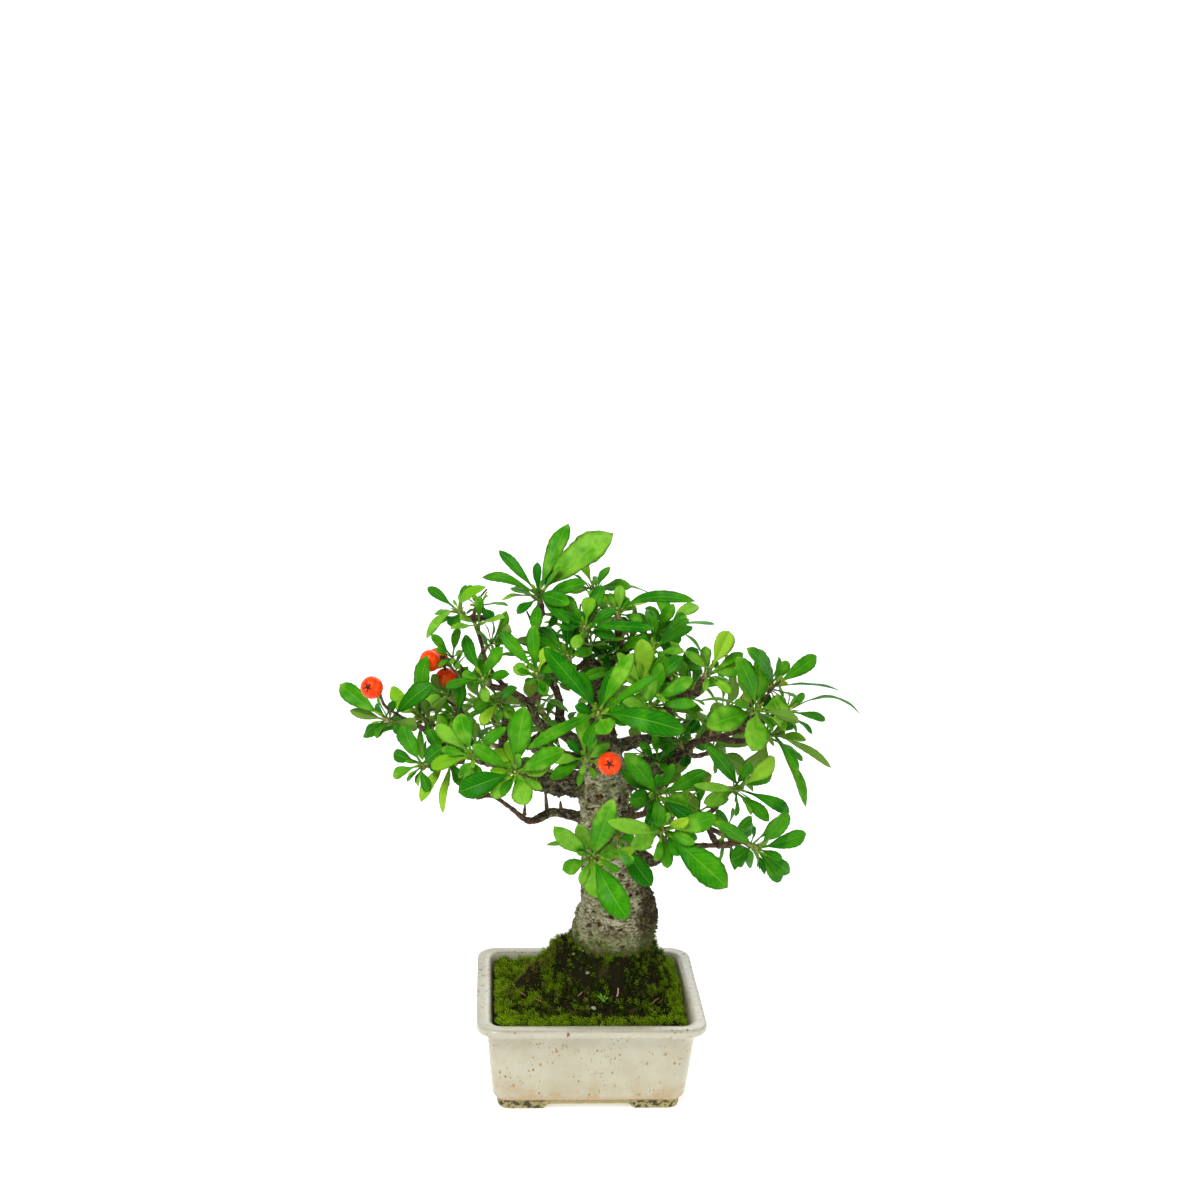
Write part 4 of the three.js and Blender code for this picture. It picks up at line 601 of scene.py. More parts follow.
def foot_material():
    s = Shader("bare_clay", roughness=0.85, specular=0.3)
    x, y, z = s.parts(s.place)
    height = s.math("DIVIDE", z, MM)
    grain = s.noise(0.6, 4, 0.7)
    clay = s.mix(s.noise(2.5, 4), (0.32, 0.26, 0.1), (0.5, 0.43, 0.22))
    algae = s.mix(grain, (0.004, 0.005, 0.002), (0.04, 0.05, 0.012))
    inset = RIM_OVERHANG + WALL_TAPER + FOOT_INSET + FOOT_LENGTH
    ends = [(POT_WIDTH / 2 - inset, x), (POT_DEPTH / 2 - inset, y)]
    on_foot = s.times(*(s.step(end - 4, end + 1, s.math("DIVIDE", s.size_of(way), MM)) for end, way in ends))
    where = s.times(s.step(0.47, 0.54, s.noise(1.7, 5, 0.7)), s.step(4.8, 3.4, height))
    clay = s.over(clay, s.times(where, on_foot), 0.92, algae)
    clay = s.over(clay, s.step(3.4, 4.6, height), 0.6, (0.44, 0.29, 0.13))
    s.bump(grain, 0.4)
    return s.finish(clay)


def berry_material():
    """look holds the share from stalk to eye."""
    s = Shader("berry_skin", specular=0.1, Coat_Weight=0.12, Coat_Roughness=0.1,
               Subsurface_Weight=0.25, Subsurface_Scale=0.0012)
    s.surface.inputs["Subsurface Radius"].default_value = (1.0, 0.25, 0.08)
    share = s.look()[0]
    skin = s.patches((0.78, 0.03, 0.0015), (0.86, 0.075, 0.002), 0.3, 0.75, (2.6, 3))
    skin = s.patches(skin, (0.88, 0.13, 0.006), 0.55, 0.68, (0.8, 3))
    skin = s.mix(s.step(0.86, 1.0, share), skin, (0.72, 0.05, 0.006))
    skin = s.mix(s.step(0.12, 0.0, share), skin, (0.75, 0.2, 0.02))
    s.bump(s.noise(1.4, 3), 0.12, 0.6)
    return s.finish(skin, s.step(0.3, 0.7, s.noise(1.5, 3), 0.2, 0.34))


def dry_material(name, low, high, size=0.7):
    s = Shader(name, roughness=0.8, specular=0.3)
    s.bump(s.noise(size * 0.6, 3), 0.2)
    return s.finish(s.mix(s.noise(size, 4), low, high))


def mesh_material():
    s = Shader("black_plastic_mesh", specular=0.4)
    colour = s.patches((0.012, 0.012, 0.012), (0.06, 0.045, 0.03), 0.5, 0.75, (1.8, 4))
    s.bump(s.noise(0.7, 2), 0.08)
    return s.finish(colour, s.step(0.3, 0.7, s.noise(2.2, 3), 0.45, 0.7))


# Leaves

def rings_from_tip(tip):
    """The rings of four points of a blade in the frame, from its tip back, and the facet it grows from."""
    ring = [edge.other_vert(tip) for edge in tip.link_edges]
    passed, rings = {tip}, []
    while True:
        pairs = [(a, b) for k, a in enumerate(ring) for b in ring[k + 1:]
                 if abs((a.co - b.co).length / MM - BLADE_THICKNESS) < 0.02]
        if len(pairs) != 2 or len({v for pair in pairs for v in pair}) != 4:
            return rings, ring
        rings.append(pairs)
        passed.update(ring)
        ring = sorted({edge.other_vert(v) for v in ring for edge in v.link_edges} - passed,
                      key=lambda v: v.index)
        if len(ring) != 4:
            return [], []


def middle(vertices):
    return np.mean([np.array(v.co) for v in vertices], 0) / MM


def frame_leaves(node):
    """Each blade of a spray as a curve with a width and a face, and the shoot's middle and axis."""
    work = bmesh.new()
    work.from_mesh(frame["nodes"][node].data)
    bmesh.ops.remove_doubles(work, verts=work.verts, dist=0.004 * MM)
    work.verts.ensure_lookup_table()
    leaves, shoot = [], set(work.verts)
    for tip in work.verts:
        if len(tip.link_edges) != 4 or len(tip.link_faces) != 4:
            continue
        rings, facet = rings_from_tip(tip)
        if len(rings) not in (2, 3):
            continue
        shoot -= {tip} | {v for ring in rings for pair in ring for v in pair}
        start, end = middle(facet), np.array(tip.co) / MM
        # Where the ring next to the stalk lies, the widest ring, and how much of the width it has.
        share, widest, part = (0.34, rings[1], 1) if len(rings) == 3 else (0.42, rings[0], 0.85)
        near = middle([v for pair in rings[-1] for v in pair])
        bend = (near - (1 - share) ** 2 * start - share ** 2 * end) / (2 * share * (1 - share))
        width = np.linalg.norm(middle(widest[0]) - middle(widest[1])) / part
        face = unit(np.array(rings[-1][0][0].co - rings[-1][0][1].co))
        if np.dot(face, bend - (start + end) / 2) < 0:
            face = -face
        leaves.append({"start": start, "bend": bend, "end": end, "width": width, "face": face})
    column = np.array([np.array(v.co) / MM for v in sorted(shoot, key=lambda v: v.index)])
    work.free()
    centre = column.mean(0)
    axis = np.linalg.svd(column - centre)[2][0]
    inward = np.array([2, 2, 120]) - centre
    return leaves, centre, -axis if np.dot(axis, inward) > 0 else axis


def outline(share, petiole, widest=0.64):
    """Half width of a leaf along its length, as a share of its greatest half width."""
    s = np.clip((share - petiole) / (1 - petiole), 0, 1)
    rise = np.sin(np.clip(s / widest, 0, 1) * math.pi / 2) ** 1.35
    fall = (1 - np.clip((s - widest) / (1 - widest), 0, 1) ** 2.1) ** 0.74
    return rise * fall


def grow_leaf(mesh, leaf, rng, steps, youth, tone):
    """A closed thin leaf, folded along its midrib, with a stalk, small teeth and a wavy margin."""
    start, bend, end, width = leaf["start"], leaf["bend"], leaf["end"], leaf["width"]
    t = (np.linspace(0, 1, steps + 1) ** 0.92)[:, None]
    t[-1] = 1
    v = ACROSS_LEAF
    centre = (1 - t) ** 2 * start + 2 * t * (1 - t) * bend + t ** 2 * end
    along = 2 * (1 - t) * (bend - start) + 2 * t * (end - bend)
    length = np.linalg.norm(end - start)
    along /= np.linalg.norm(along, axis=1)[:, None]
    side = np.cross(along, leaf["face"])
    side /= np.linalg.norm(side, axis=1)[:, None]
    up = np.cross(side, along)
    twist = rng.uniform(-0.22, 0.22) * t
    side, up = side * np.cos(twist) + up * np.sin(twist), up * np.cos(twist) - side * np.sin(twist)
    petiole = min(0.2, 2.2 / length)
    taper = smooth(1.0, 0.93, t)
    teeth = (np.arange(steps + 1) % 2)[:, None] * smooth(0.35, 0.6, t) * taper
    stalk = min(0.5, 0.1 + width * 0.07)
    half = outline(t, petiole) * width / 2 * (1 - 0.055 * teeth)
    half = np.maximum(half, stalk * smooth(1.0, 0.9, t))
    blade = smooth(petiole * 0.6, petiole + 0.16, t)
    fold = rng.uniform(0.14, 0.42) + 0.25 * youth
    waves = rng.uniform(1.4, 2.6)
    phases = rng.uniform(0, 2 * math.pi, 2)
    wave = np.sin(2 * math.pi * waves * t + np.where(v > 0, phases[0], phases[1]))
    lift = fold * np.abs(v) * half + 0.045 * width * wave * v ** 2 * blade
    lift -= 0.35 * fold * v ** 2 * half
    lift -= rng.uniform(0.0, 0.09) * length * smooth(0.6, 1.25, t)
    rib = np.exp(-((v / 0.11) ** 2))
    edge = 1 - np.abs(v) ** 3
    round_stalk = stalk * 0.8 * np.sqrt(1 - v ** 2)
    over = lerp(round_stalk, edge * 0.13 - 0.06 * rib, blade) * taper
    under = lerp(round_stalk, edge * 0.12 + 0.17 * rib * (1 - t), blade) * taper
    grid = centre[:, None, :] + side[:, None, :] * (v * half)[:, :, None]
    top = grid + up[:, None, :] * (lift + over)[:, :, None]
    low = (grid + up[:, None, :] * (lift - under)[:, :, None])[1:-1, 1:-1]
    columns = v.size
    top_number = np.arange((steps + 1) * columns).reshape(steps + 1, columns)
    top_number[-1] = top_number[-1, 0]
    low_number = top_number.copy()
    low_number[1:-1, 1:-1] = top.size // 3 + np.arange(low.size // 3).reshape(low.shape[:2])
    points = np.concatenate([top.reshape(-1, 3), low.reshape(-1, 3)])
    points[top_number[-1, 0]] = centre[-1] + up[-1] * lift[-1, columns // 2]
    faces, kinds = [], []
    for row in range(steps):
        for k in range(columns - 1):
            for kind, numbers in enumerate((top_number, low_number)):
                (a, b), (d, c) = numbers[row, k:k + 2], numbers[row + 1, k:k + 2]
                face = (a, b, c, d) if c != d else (a, b, c)
                faces.append(face if kind == 0 else face[::-1])
                kinds.append(kind)
    faces.append(tuple(top_number[0, ::-1]))
    kinds.append(1)
    looks = np.zeros((*grid.shape[:2], 4))
    looks[:, :, 0], looks[:, :, 1], looks[:, :, 2], looks[:, :, 3] = t, v * 0.5 + 0.5, tone, youth
    looks = np.concatenate([looks.reshape(-1, 4), looks[1:-1, 1:-1].reshape(-1, 4)])
    mesh.add(*without_spares(points, faces, looks, kinds))


def without_spares(points, faces, looks, kinds):
    """Drops points that no face uses."""
    used = sorted({i for face in faces for i in face})
    number = {old: new for new, old in enumerate(used)}
    faces = [tuple(number[i] for i in face) for face in faces]
    return points[used], faces, kinds, looks[used]


def new_leaf(start, end, way, axis, length, width, arch=0.1, arch_way=None):
    """A leaf that faces the way its shoot's axis points, and arches by a share of its length."""
    face = unit(axis - way * np.dot(axis, way))
    bend = (start + end) / 2 + (face if arch_way is None else arch_way) * length * arch
    return {"start": start, "bend": bend, "end": end, "width": width, "face": face}


def inner_leaves(leaves, centre, axis, rng):
    """Shorter leaves in the gaps round the shoot, between those that the frame has."""
    sides = sides_of(axis, (0.3, 0.8, 0.5))
    ways = [unit(leaf["end"] - leaf["start"]) for leaf in leaves]
    usual = np.mean([np.linalg.norm(leaf["end"] - leaf["start"]) for leaf in leaves])
    made = []
    for k in range(INNER_TRIES):
        turn, spread = k * TURN_STEP + rng.uniform(-0.3, 0.3), math.radians(rng.uniform(35, 88))
        outward, way = leaning(axis, sides, turn, spread)
        if any(np.dot(way, taken) > 0.9 for taken in ways) or len(made) == INNER_LEAVES:
            continue
        ways.append(way)
        length = usual * rng.uniform(0.42, 0.75)
        start = centre + axis * rng.uniform(-1.2, 1) + outward * 0.8
        width = min(6, length * rng.uniform(0.28, 0.38))
        made.append(new_leaf(start, start + way * length, way, axis, length, width))
    return made


def grow_spray(node, rng, materials):
    """The fine spray in place of a node of leaves. Returns the middle and the axis of its shoot."""
    leaves, centre, axis = frame_leaves(node)
    mesh = Mesh()
    spray_tone = rng.uniform(0.25, 0.75)
    for leaf in leaves + inner_leaves(leaves, centre, axis, rng):
        length = np.linalg.norm(leaf["end"] - leaf["start"])
        steps = LONG_LEAF_STEPS if length > LONG_LEAF else SHORT_LEAF_STEPS
        youth = rng.uniform(0.5, 1) if rng.random() < 0.12 else rng.uniform(0, 0.1)
        grow_leaf(mesh, leaf, rng, steps, youth, np.clip(spray_tone + rng.normal(0, 0.32), 0, 1))
    high = centre + axis * 2.2
    line = smooth_line([centre - axis * 2.6, centre, high], 8)
    radii = np.interp(np.linspace(0, 1, 9), [0, 0.15, 0.5, 0.85, 1], [0.95, 1.15, 1.1, 0.9, 0.35])
    points, faces = tube(line, radii * (1 + 0.1 * np.sin(np.arange(9) * 2.4)), 10)
    grown = np.linspace(0, 1, 9).repeat(10)
    mesh.add(points, faces, 2, np.stack([grown, grown, np.full(90, 0.5), smooth(0.1, 0.6, grown)], 1))
    sides = sides_of(axis, (0.2, 0.9, 0.4))
    for k in range(4):
        turn, spread = k * TURN_STEP + rng.uniform(0, 1), math.radians(rng.uniform(14, 44))
        outward, way = leaning(axis, sides, turn, spread)
        length = rng.uniform(3.2, 6.5)
        start = high - axis * 1.2 + outward * 0.3
        young = new_leaf(start, start + way * length, way, axis, length, rng.uniform(0.9, 1.5), 0.12, outward)
        grow_leaf(mesh, young, rng, YOUNG_LEAF_STEPS, rng.uniform(0.5, 1), rng.uniform(0.2, 0.8))
    for k in range(3):
        outward, _ = leaning(axis, sides, k * 2.1 + rng.uniform(0, 1))
        start = centre + axis * rng.uniform(-1.8, 0.5) + outward * 0.9
        tip = start + (outward * 0.8 + axis) * rng.uniform(1.2, 2)
        bud = smooth_line([start, (start + tip) / 2 + outward * 0.3, tip], 3)
        mesh.add(*tube(bud, [0.3, 0.42, 0.3, 0.05], 6), 2, (0.5, 0.5, 0.6, rng.uniform(0.2, 0.8)))
    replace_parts(mesh.piece(node.replace("leaves", "foliage"), materials, "leaves"), node)
    return centre, axis


def limb_tufts(name, rng, materials):
    """Tufts of short leaves that sprout from the limbs inside the crown."""
    mesh = Mesh()
    for branch, (line, _) in BRANCHES.items():
        if branch.startswith(("dead", "front", "right_low")):
            continue
        places = smooth_line([seen(p) for p in line], 24)
        for k in range(int(rng.integers(7, 10)), 23, 5):
            along = unit(places[k + 1] - places[k - 1])
            outward = unit(np.cross(along, rng.normal(size=3)))
            outward = unit(outward * math.copysign(1, outward[2]) + (0, 0, 0.3))
            axis = unit(outward + along * rng.uniform(0.1, 0.7))
            heart = places[k] + outward * 1.2 + axis * rng.uniform(1.5, 4)
            shoot = smooth_line([places[k], heart - axis, heart], 6)
            mesh.add(*tube(shoot, np.linspace(0.7, 0.5, 7), 8), 2, (0.5, 0.5, 0.5, 0.35))
            sides = sides_of(axis, (0.3, 0.8, 0.5))
            tuft_tone = rng.uniform(0.1, 0.7)
            for j in range(int(rng.integers(5, 8))):
                turn, spread = j * TURN_STEP + rng.uniform(-0.3, 0.3), math.radians(rng.uniform(30, 80))
                outward, way = leaning(axis, sides, turn, spread)
                length = rng.uniform(7, 14)
                leaf = new_leaf(heart + outward * 0.4, heart + way * length, way, axis, length,
                                length * rng.uniform(0.3, 0.4))
                youth, tone = rng.uniform(0, 0.2), min(1, tuft_tone + rng.uniform(0, 0.3))
                grow_leaf(mesh, leaf, rng, SHORT_LEAF_STEPS, youth, tone)
    mesh.piece(name, materials, "leaves")


# Wood

def limb_parts():
    """Every limb as (line, radii at its steps), thick ones and thin ones apart."""
    places = [np.array([TRUNK_X, TRUNK_Y, z]) for z in FOOT_LEVELS] + [seen(p) for p in TRUNK_LINE]
    trunk = smooth_line(places, 90)
    thick = [(trunk, np.interp(trunk[:, 2], [p[2] for p in places], FOOT_RADII + TRUNK_RADII))]
    thin = []
    for line, radii in BRANCHES.values():
        places = [seen(p) for p in line]
        length = sum(np.linalg.norm(b - a) for a, b in zip(places, places[1:]))
        steps = max(8, int(length / 1.1))
        curve = smooth_line(places, steps)
        sizes = np.interp(np.linspace(0, 1, steps + 1), np.linspace(0, 1, len(radii)), radii)
        cut = int(np.sum(sizes > THICK_LIMB))
        if cut > 3:
            thick.append((curve[: cut + 1], sizes[: cut + 1]))
        if cut < steps:
            first = max(0, cut - 2)
            thin.append((curve[first:], sizes[first:]))
    for line, radius in STUBS:
        thin.append((smooth_line([seen(p) for p in line], 8), np.linspace(radius, radius * 0.4, 9)))
    return thick, thin


def spur_parts(shoots):
    """The short wooden spur from a branch to each shoot."""
    parts = []
    for name, (centre, axis) in shoots.items():
        branch, number = CARRIERS[name]
        start, end = seen(BRANCHES[branch][0][number]), centre - axis * 2.4
        length = np.linalg.norm(end - start)
        before = end - axis * min(4, length * 0.3)
        sag = (start + before) / 2 - np.array([0, 0, length * 0.05])
        steps = max(6, int(length / 1.2))
        parts.append((smooth_line([start, sag, before, end], steps), np.linspace(1.35, 0.95, steps + 1)))
    return parts


def remeshed(parts, size):
    """One skin round overlapping tubes, as points, normals and faces."""
    mesh = Mesh()
    for line, radii in parts:
        mesh.add(*tube(line, radii, 24))
    work = in_scene("limbs", mesh_data("limbs", np.concatenate(mesh.points), mesh.faces))
    modifier = work.modifiers.new("skin", "REMESH")
    modifier.mode = "VOXEL"
    modifier.voxel_size = size * MM
    done = with_modifiers(work)
    bpy.data.objects.remove(work)
    points, normals = np.zeros((2, len(done.vertices) * 3))
    done.vertices.foreach_get("co", points)
    done.vertices.foreach_get("normal", normals)
    faces = [tuple(face.vertices) for face in done.polygons]
    return points.reshape(-1, 3) / MM, normals.reshape(-1, 3), faces


def bark_relief(points):
    """How far the bark moves each point out, and its looks, from seeded noise."""
    moved = np.zeros(len(points))
    looks = np.zeros((len(points), 4))
    for i, point in enumerate(points):
        x, y, z = (float(c) for c in point)
        low = noise.noise(Vector((x, y, z)) * 0.12)
        lumps = noise.noise(Vector((x, y, z)) * 0.33 + Vector((9, 3, 1)))
        flakes = noise.fractal(Vector((x * 0.9, y * 0.9, z * 1.5)), 0.8, 2.1, 3)
        away, centres = noise.voronoi(Vector((x, y, z * 1.2)) * 0.27 + Vector((4, 7, 2)))
        pick = noise.cell(centres[0] * 7.3)
        size = 0.2 + 0.2 * abs(pick)
        chosen = 1.0 if pick > -0.1 else 0.0
        scar = float(smooth(size + 0.1, size - 0.06, away[0] + 0.1 * flakes)) * chosen
        rim = float(smooth(size + 0.26, size + 0.1, away[0])) * chosen - scar
        high = float(smooth(104, 120, z))
        wrinkle = math.sin(z * 1.9 + 2.2 * lumps + 3 * low) * float(smooth(76, 62, z))
        rough_and_shaded_side = float(smooth(16, 22, x + 3 * low)) * float(smooth(92, 78, z))
        moved[i] = 0.9 * low + (0.6 + 0.9 * high) * lumps + (0.36 + 0.5 * high) * flakes + 0.16 * wrinkle
        moved[i] += 0.45 * rim - 0.6 * scar
        moved[i] += 0.9 * flakes * rough_and_shaded_side
        looks[i] = (scar, 1.0, float(smooth(63, 54, z + 4 * lumps)), 0.5 + 0.5 * flakes)
    return moved, looks


def grow_wood(shoots, material):
    """The trunk and thick limbs as one skin with bark, and the twigs, spurs and stalks as knobbly tubes."""
    thick, thin = limb_parts()
    points, normals, faces = remeshed(thick, BARK_VOXEL)
    moved, looks = bark_relief(points)
    moved *= lerp(0.35, 1, smooth(1.3, 4.5, wood_thickness(points, thick)))
    room = smooth(0, 9, np.linalg.norm(points[:, :2] - np.array([TRUNK_X, TRUNK_Y]), axis=1))
    share = np.interp(points[:, 2], [0, 100, 125, 220], [1, 1, 0.8, 0.5]) * (0.4 + 0.6 * room)
    points = points + normals * (moved * share)[:, None]
    thickness = wood_thickness(points, thick)
    looks[:, 1] = 0.5 * smooth(1.1, 2, thickness) + 0.5 * smooth(5.5, 7.5, thickness)
    trunk = make_piece("trunk_and_limbs", points, faces, [material], "bark", None, looks)
    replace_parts(trunk, "trunk_and_branches")
    mesh = Mesh()
    stalks = [stalk_part(*spec) for spec in BERRIES.values()]
    for number, (line, radii) in enumerate(thin + spur_parts(shoots) + stalks):
        wobble = [1 + 0.16 * noise.noise(Vector(p) * 0.9) + 0.1 * math.sin(k * 1.9 + number)
                  for k, p in enumerate(line)]
        points, faces = tube(line, np.asarray(radii) * np.array(wobble), TWIG_SIDES)
        knobs = np.array([0.14 * noise.noise(Vector(p) * 1.3) for p in points])
        points = points + (points - np.repeat(line, TWIG_SIDES, axis=0)) * knobs[:, None]
        age = 0.35 * float(smooth(0.9, 1.5, np.mean(radii)))
        mesh.add(points, faces, 0, (0, age, 0, 0.6))
    twigs = mesh.piece("twigs", [material], "bark")
    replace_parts(twigs, "trunk_and_branches")


def wood_thickness(points, parts):
    """Radius of the limb that each point lies on."""
    best = np.full(len(points), np.inf)
    size = np.zeros(len(points))
    for line, radii in parts:
        for place, radius in zip(line[::2], radii[::2]):
            away = np.abs(np.linalg.norm(points - place, axis=1) - radius)
            near = away < best
            best[near] = away[near]
            size[near] = radius
    return size


def stalk_part(place, eye, stalk):
    centre, eye = seen(place), unit(eye)
    end = centre - eye * (BERRY_RADIUS * 0.8)
    before = centre - eye * (BERRY_RADIUS + 1.6)
    line = smooth_line([seen(p) for p in stalk] + [before, end], 12)
    return line, np.linspace(0.6, 0.5, 13)


# Moss

def mound_height(x, y):
    """The mound round the trunk, its root ridges and their fall to the wall, as in the part's source."""
    away = np.maximum(0, np.hypot(x - TRUNK_X, y - TRUNK_Y) - COLLAR_RADIUS)
    height = MOSS_LEVEL + MOUND_HEIGHT * np.exp(-((away / MOUND_REACH) ** 2))
    for start, end, falloff in ROOTS:
        ax, ay = end[0] - start[0], end[1] - start[1]
        share = np.clip(((x - start[0]) * ax + (y - start[1]) * ay) / (ax * ax + ay * ay), 0, 1)
        aside = np.hypot(x - start[0] - ax * share, y - start[1] - ay * share)
        height = np.maximum(height, start[2] + (end[2] - start[2]) * share ** 0.85 - falloff * aside)
    tufts = 0.45 * np.sin(x * 0.55 + 1) * np.sin(y * 0.6) + 0.3 * np.sin(x * 1.1 + y * 0.9)
    height = np.minimum(height, MOSS_LEVEL + WALL_LIP + WALL_SLOPE * inside_pot(x, y, WALL_GAP))
    return height + tufts * np.minimum(1, away / 6)


def soil_height(x, y):
    hit = soil_tree.ray_cast(Vector((x, y, 100)) * MM, Vector((0, 0, -1)))[0]
    return hit.z / MM if hit else 0.0


def moss_height(x, y):
    """Top of the moss, which also covers the flat facets of the soil in the frame."""
    return np.maximum(mound_height(x, y), np.vectorize(soil_height)(x, y) + SOIL_COVER)


def inside_pot(x, y, gap):
    """How far a place lies inside the pot's inner wall, less the gap."""
    inset = INNER_TAPER * 5 / 26 + gap
    corner = 4
    dx = np.abs(x) - (POT_WIDTH / 2 - RIM_WIDTH - inset - corner)
    dy = np.abs(y) - (POT_DEPTH / 2 - RIM_WIDTH - inset - corner)
    return corner - np.hypot(np.maximum(dx, 0), np.maximum(dy, 0)) - np.minimum(np.maximum(dx, dy), 0)


def moss_patches(x, y):
    """Soil showing, brightness and dryness of the moss at a place, each 0 to 1."""
    place = Vector((x, y, 0))
    clump = noise.noise(place * 0.16 + Vector((3, 1, 7)))
    fine = noise.noise(place * 0.5)
    shade = 0.22 * math.exp(-(((x - 3) / 17) ** 2 + ((y + 17) / 7) ** 2))
    gap = 0.6 * float(smooth(0.05, -0.25, noise.noise(place * 0.62 + Vector((2, 6, 5)))))
    bare = float(smooth(0.1, 0.34, clump + 0.45 * fine + shade + gap))
    wall = 0.3 * float(smooth(9, 2, inside_pot(x, y, 0)))
    light = noise.noise(place * 0.22 + Vector((8, 5, 2)))
    bright = float(smooth(-0.3, 0.45, light + 0.4 * fine + wall - shade))
    # The left root's crest is dry and pale.
    crest = abs(y - (6 + (x + 6) * 13 / 30)) < 2.6 and -36 < x < -6
    dry = float(smooth(0.1, 0.5, noise.noise(place * 0.3 + Vector((1, 9, 4))))) * 0.5
    return bare, min(1.0, bright + 0.6 * crest), min(1.0, dry + 0.45 * crest)


def moss_ground(material):
    """Closed blanket of moss and earth from the trunk to the pot's wall."""
    spokes, rings = MOSS_SPOKES, MOSS_RINGS
    angles = np.arange(spokes) * 2 * math.pi / spokes
    reach = np.full(spokes, 8.0)
    for _ in range(50):
        reach += inside_pot(TRUNK_X + np.cos(angles) * reach, TRUNK_Y + np.sin(angles) * reach, WALL_GAP)
    shares = np.linspace(0, 1, rings)
    along = lerp(COLLAR_RADIUS - 1.2, reach[None, :], shares[:, None])
    x, y = TRUNK_X + np.cos(angles) * along, TRUNK_Y + np.sin(angles) * along
    z = moss_height(x, y)
    looks = np.zeros((rings, spokes, 4))
    for i in range(rings):
        for k in range(spokes):
            place = Vector((x[i, k], y[i, k], z[i, k]))
            lump = noise.fractal(place * 0.45, 0.9, 2.1, 4)
            bare, bright, dry = moss_patches(x[i, k], y[i, k])
            z[i, k] += 0.75 * lump - 0.5 * bare - 0.35
            # The second look, from the lumps, sets how much painted shade the moss material gives the
            # blanket's hollows.
            looks[i, k] = (bright * 0.5, 0.35 + 0.3 * lump, dry * 0.5, min(1, 0.35 + bare))
    top = np.stack([x, y, z], 2)
    low = top - np.array([0, 0, MOSS_THICKNESS])
    points = np.concatenate([top.reshape(-1, 3), low.reshape(-1, 3)])
    number = np.arange(rings * spokes).reshape(rings, spokes)
    faces = []
    for k in range(spokes):
        j = (k + 1) % spokes
        for i in range(rings - 1):
            a, b, c, d = number[i, k], number[i + 1, k], number[i + 1, j], number[i, j]
            faces += [(a, b, c, d), tuple(n + rings * spokes for n in (d, c, b, a))]
        for i in (0, rings - 1):
            a, b = number[i, k], number[i, j]
            face = (a, b, b + rings * spokes, a + rings * spokes)
            faces.append(face if i == 0 else face[::-1])
    looks = np.concatenate([looks.reshape(-1, 4)] * 2)
    ground = make_piece("moss_ground", points, faces, [material], "moss", None, looks)
    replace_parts(ground, "moss")


def place_on_moss(rng, gap, clearance):
    """A random place on the moss, this far off the pot's wall and the trunk's collar."""
    while True:
        x = rng.uniform(-POT_WIDTH / 2, POT_WIDTH / 2)
        y = rng.uniform(-POT_DEPTH / 2, POT_DEPTH / 2)
        if inside_pot(x, y, gap) >= 0 and math.hypot(x - TRUNK_X, y - TRUNK_Y) >= COLLAR_RADIUS + clearance:
            return x, y


def moss_tufts(name, count, rng, material, height_range, width_range):
    """Many small pointed moss leaves, thick where the moss is bright and few where the earth shows."""
    points, faces, looks = [], [], []
    while len(points) < 4 * count:
        x, y = place_on_moss(rng, 0.7, -0.4)
        bare, bright, dry = moss_patches(x, y)
        if rng.random() < 0.88 * bare:
            continue
        z = float(moss_height(x, y)) - 0.7
        z += 0.6 * noise.fractal(Vector((x, y, z)) * 0.45, 0.9, 2.1, 4)
        slope = [float(moss_height(x + dx, y + dy)) - float(moss_height(x - dx, y - dy))
                 for dx, dy in ((0.4, 0), (0, 0.4))]
        normal = unit([-slope[0] / 0.8, -slope[1] / 0.8, 1.3])
        sides = sides_of(normal, rng.normal(size=3))
        size = 0.6 + 0.6 * bright
        lit = rng.random() < 0.07 + 0.46 * bright
        faded = min(1.0, dry + rng.uniform(0, 0.22))
        for _ in range(4):
            turn, lean = rng.uniform(0, 2 * math.pi), rng.uniform(0.15, 0.85)
            outward = leaning(normal, sides, turn)[0]
            tall = rng.uniform(*height_range) * size
            wide = rng.uniform(*width_range)
            base = np.array([x, y, z]) + outward * 0.25
            across = np.cross(normal, outward) * wide / 2
            tip = base + normal * tall * math.cos(lean) + outward * tall * math.sin(lean)
            n = len(points)
            points += [base - across, base + across, base - outward * wide * 0.3, tip]
            faces += [(n, n + 1, n + 3), (n + 1, n + 2, n + 3), (n + 2, n, n + 3), (n + 1, n, n + 2)]
            tone = rng.uniform(0.65, 1) if lit else rng.uniform(0, 0.18)
            # The foot of each leaf has height 0, which the moss material darkens as painted shade; its tip
            # has 1.
            looks += [(tone, 0, faded, 0)] * 3 + [(tone, 1, faded, 0)]
    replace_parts(make_piece(name, points, faces, [material], "moss", None, looks), "moss")


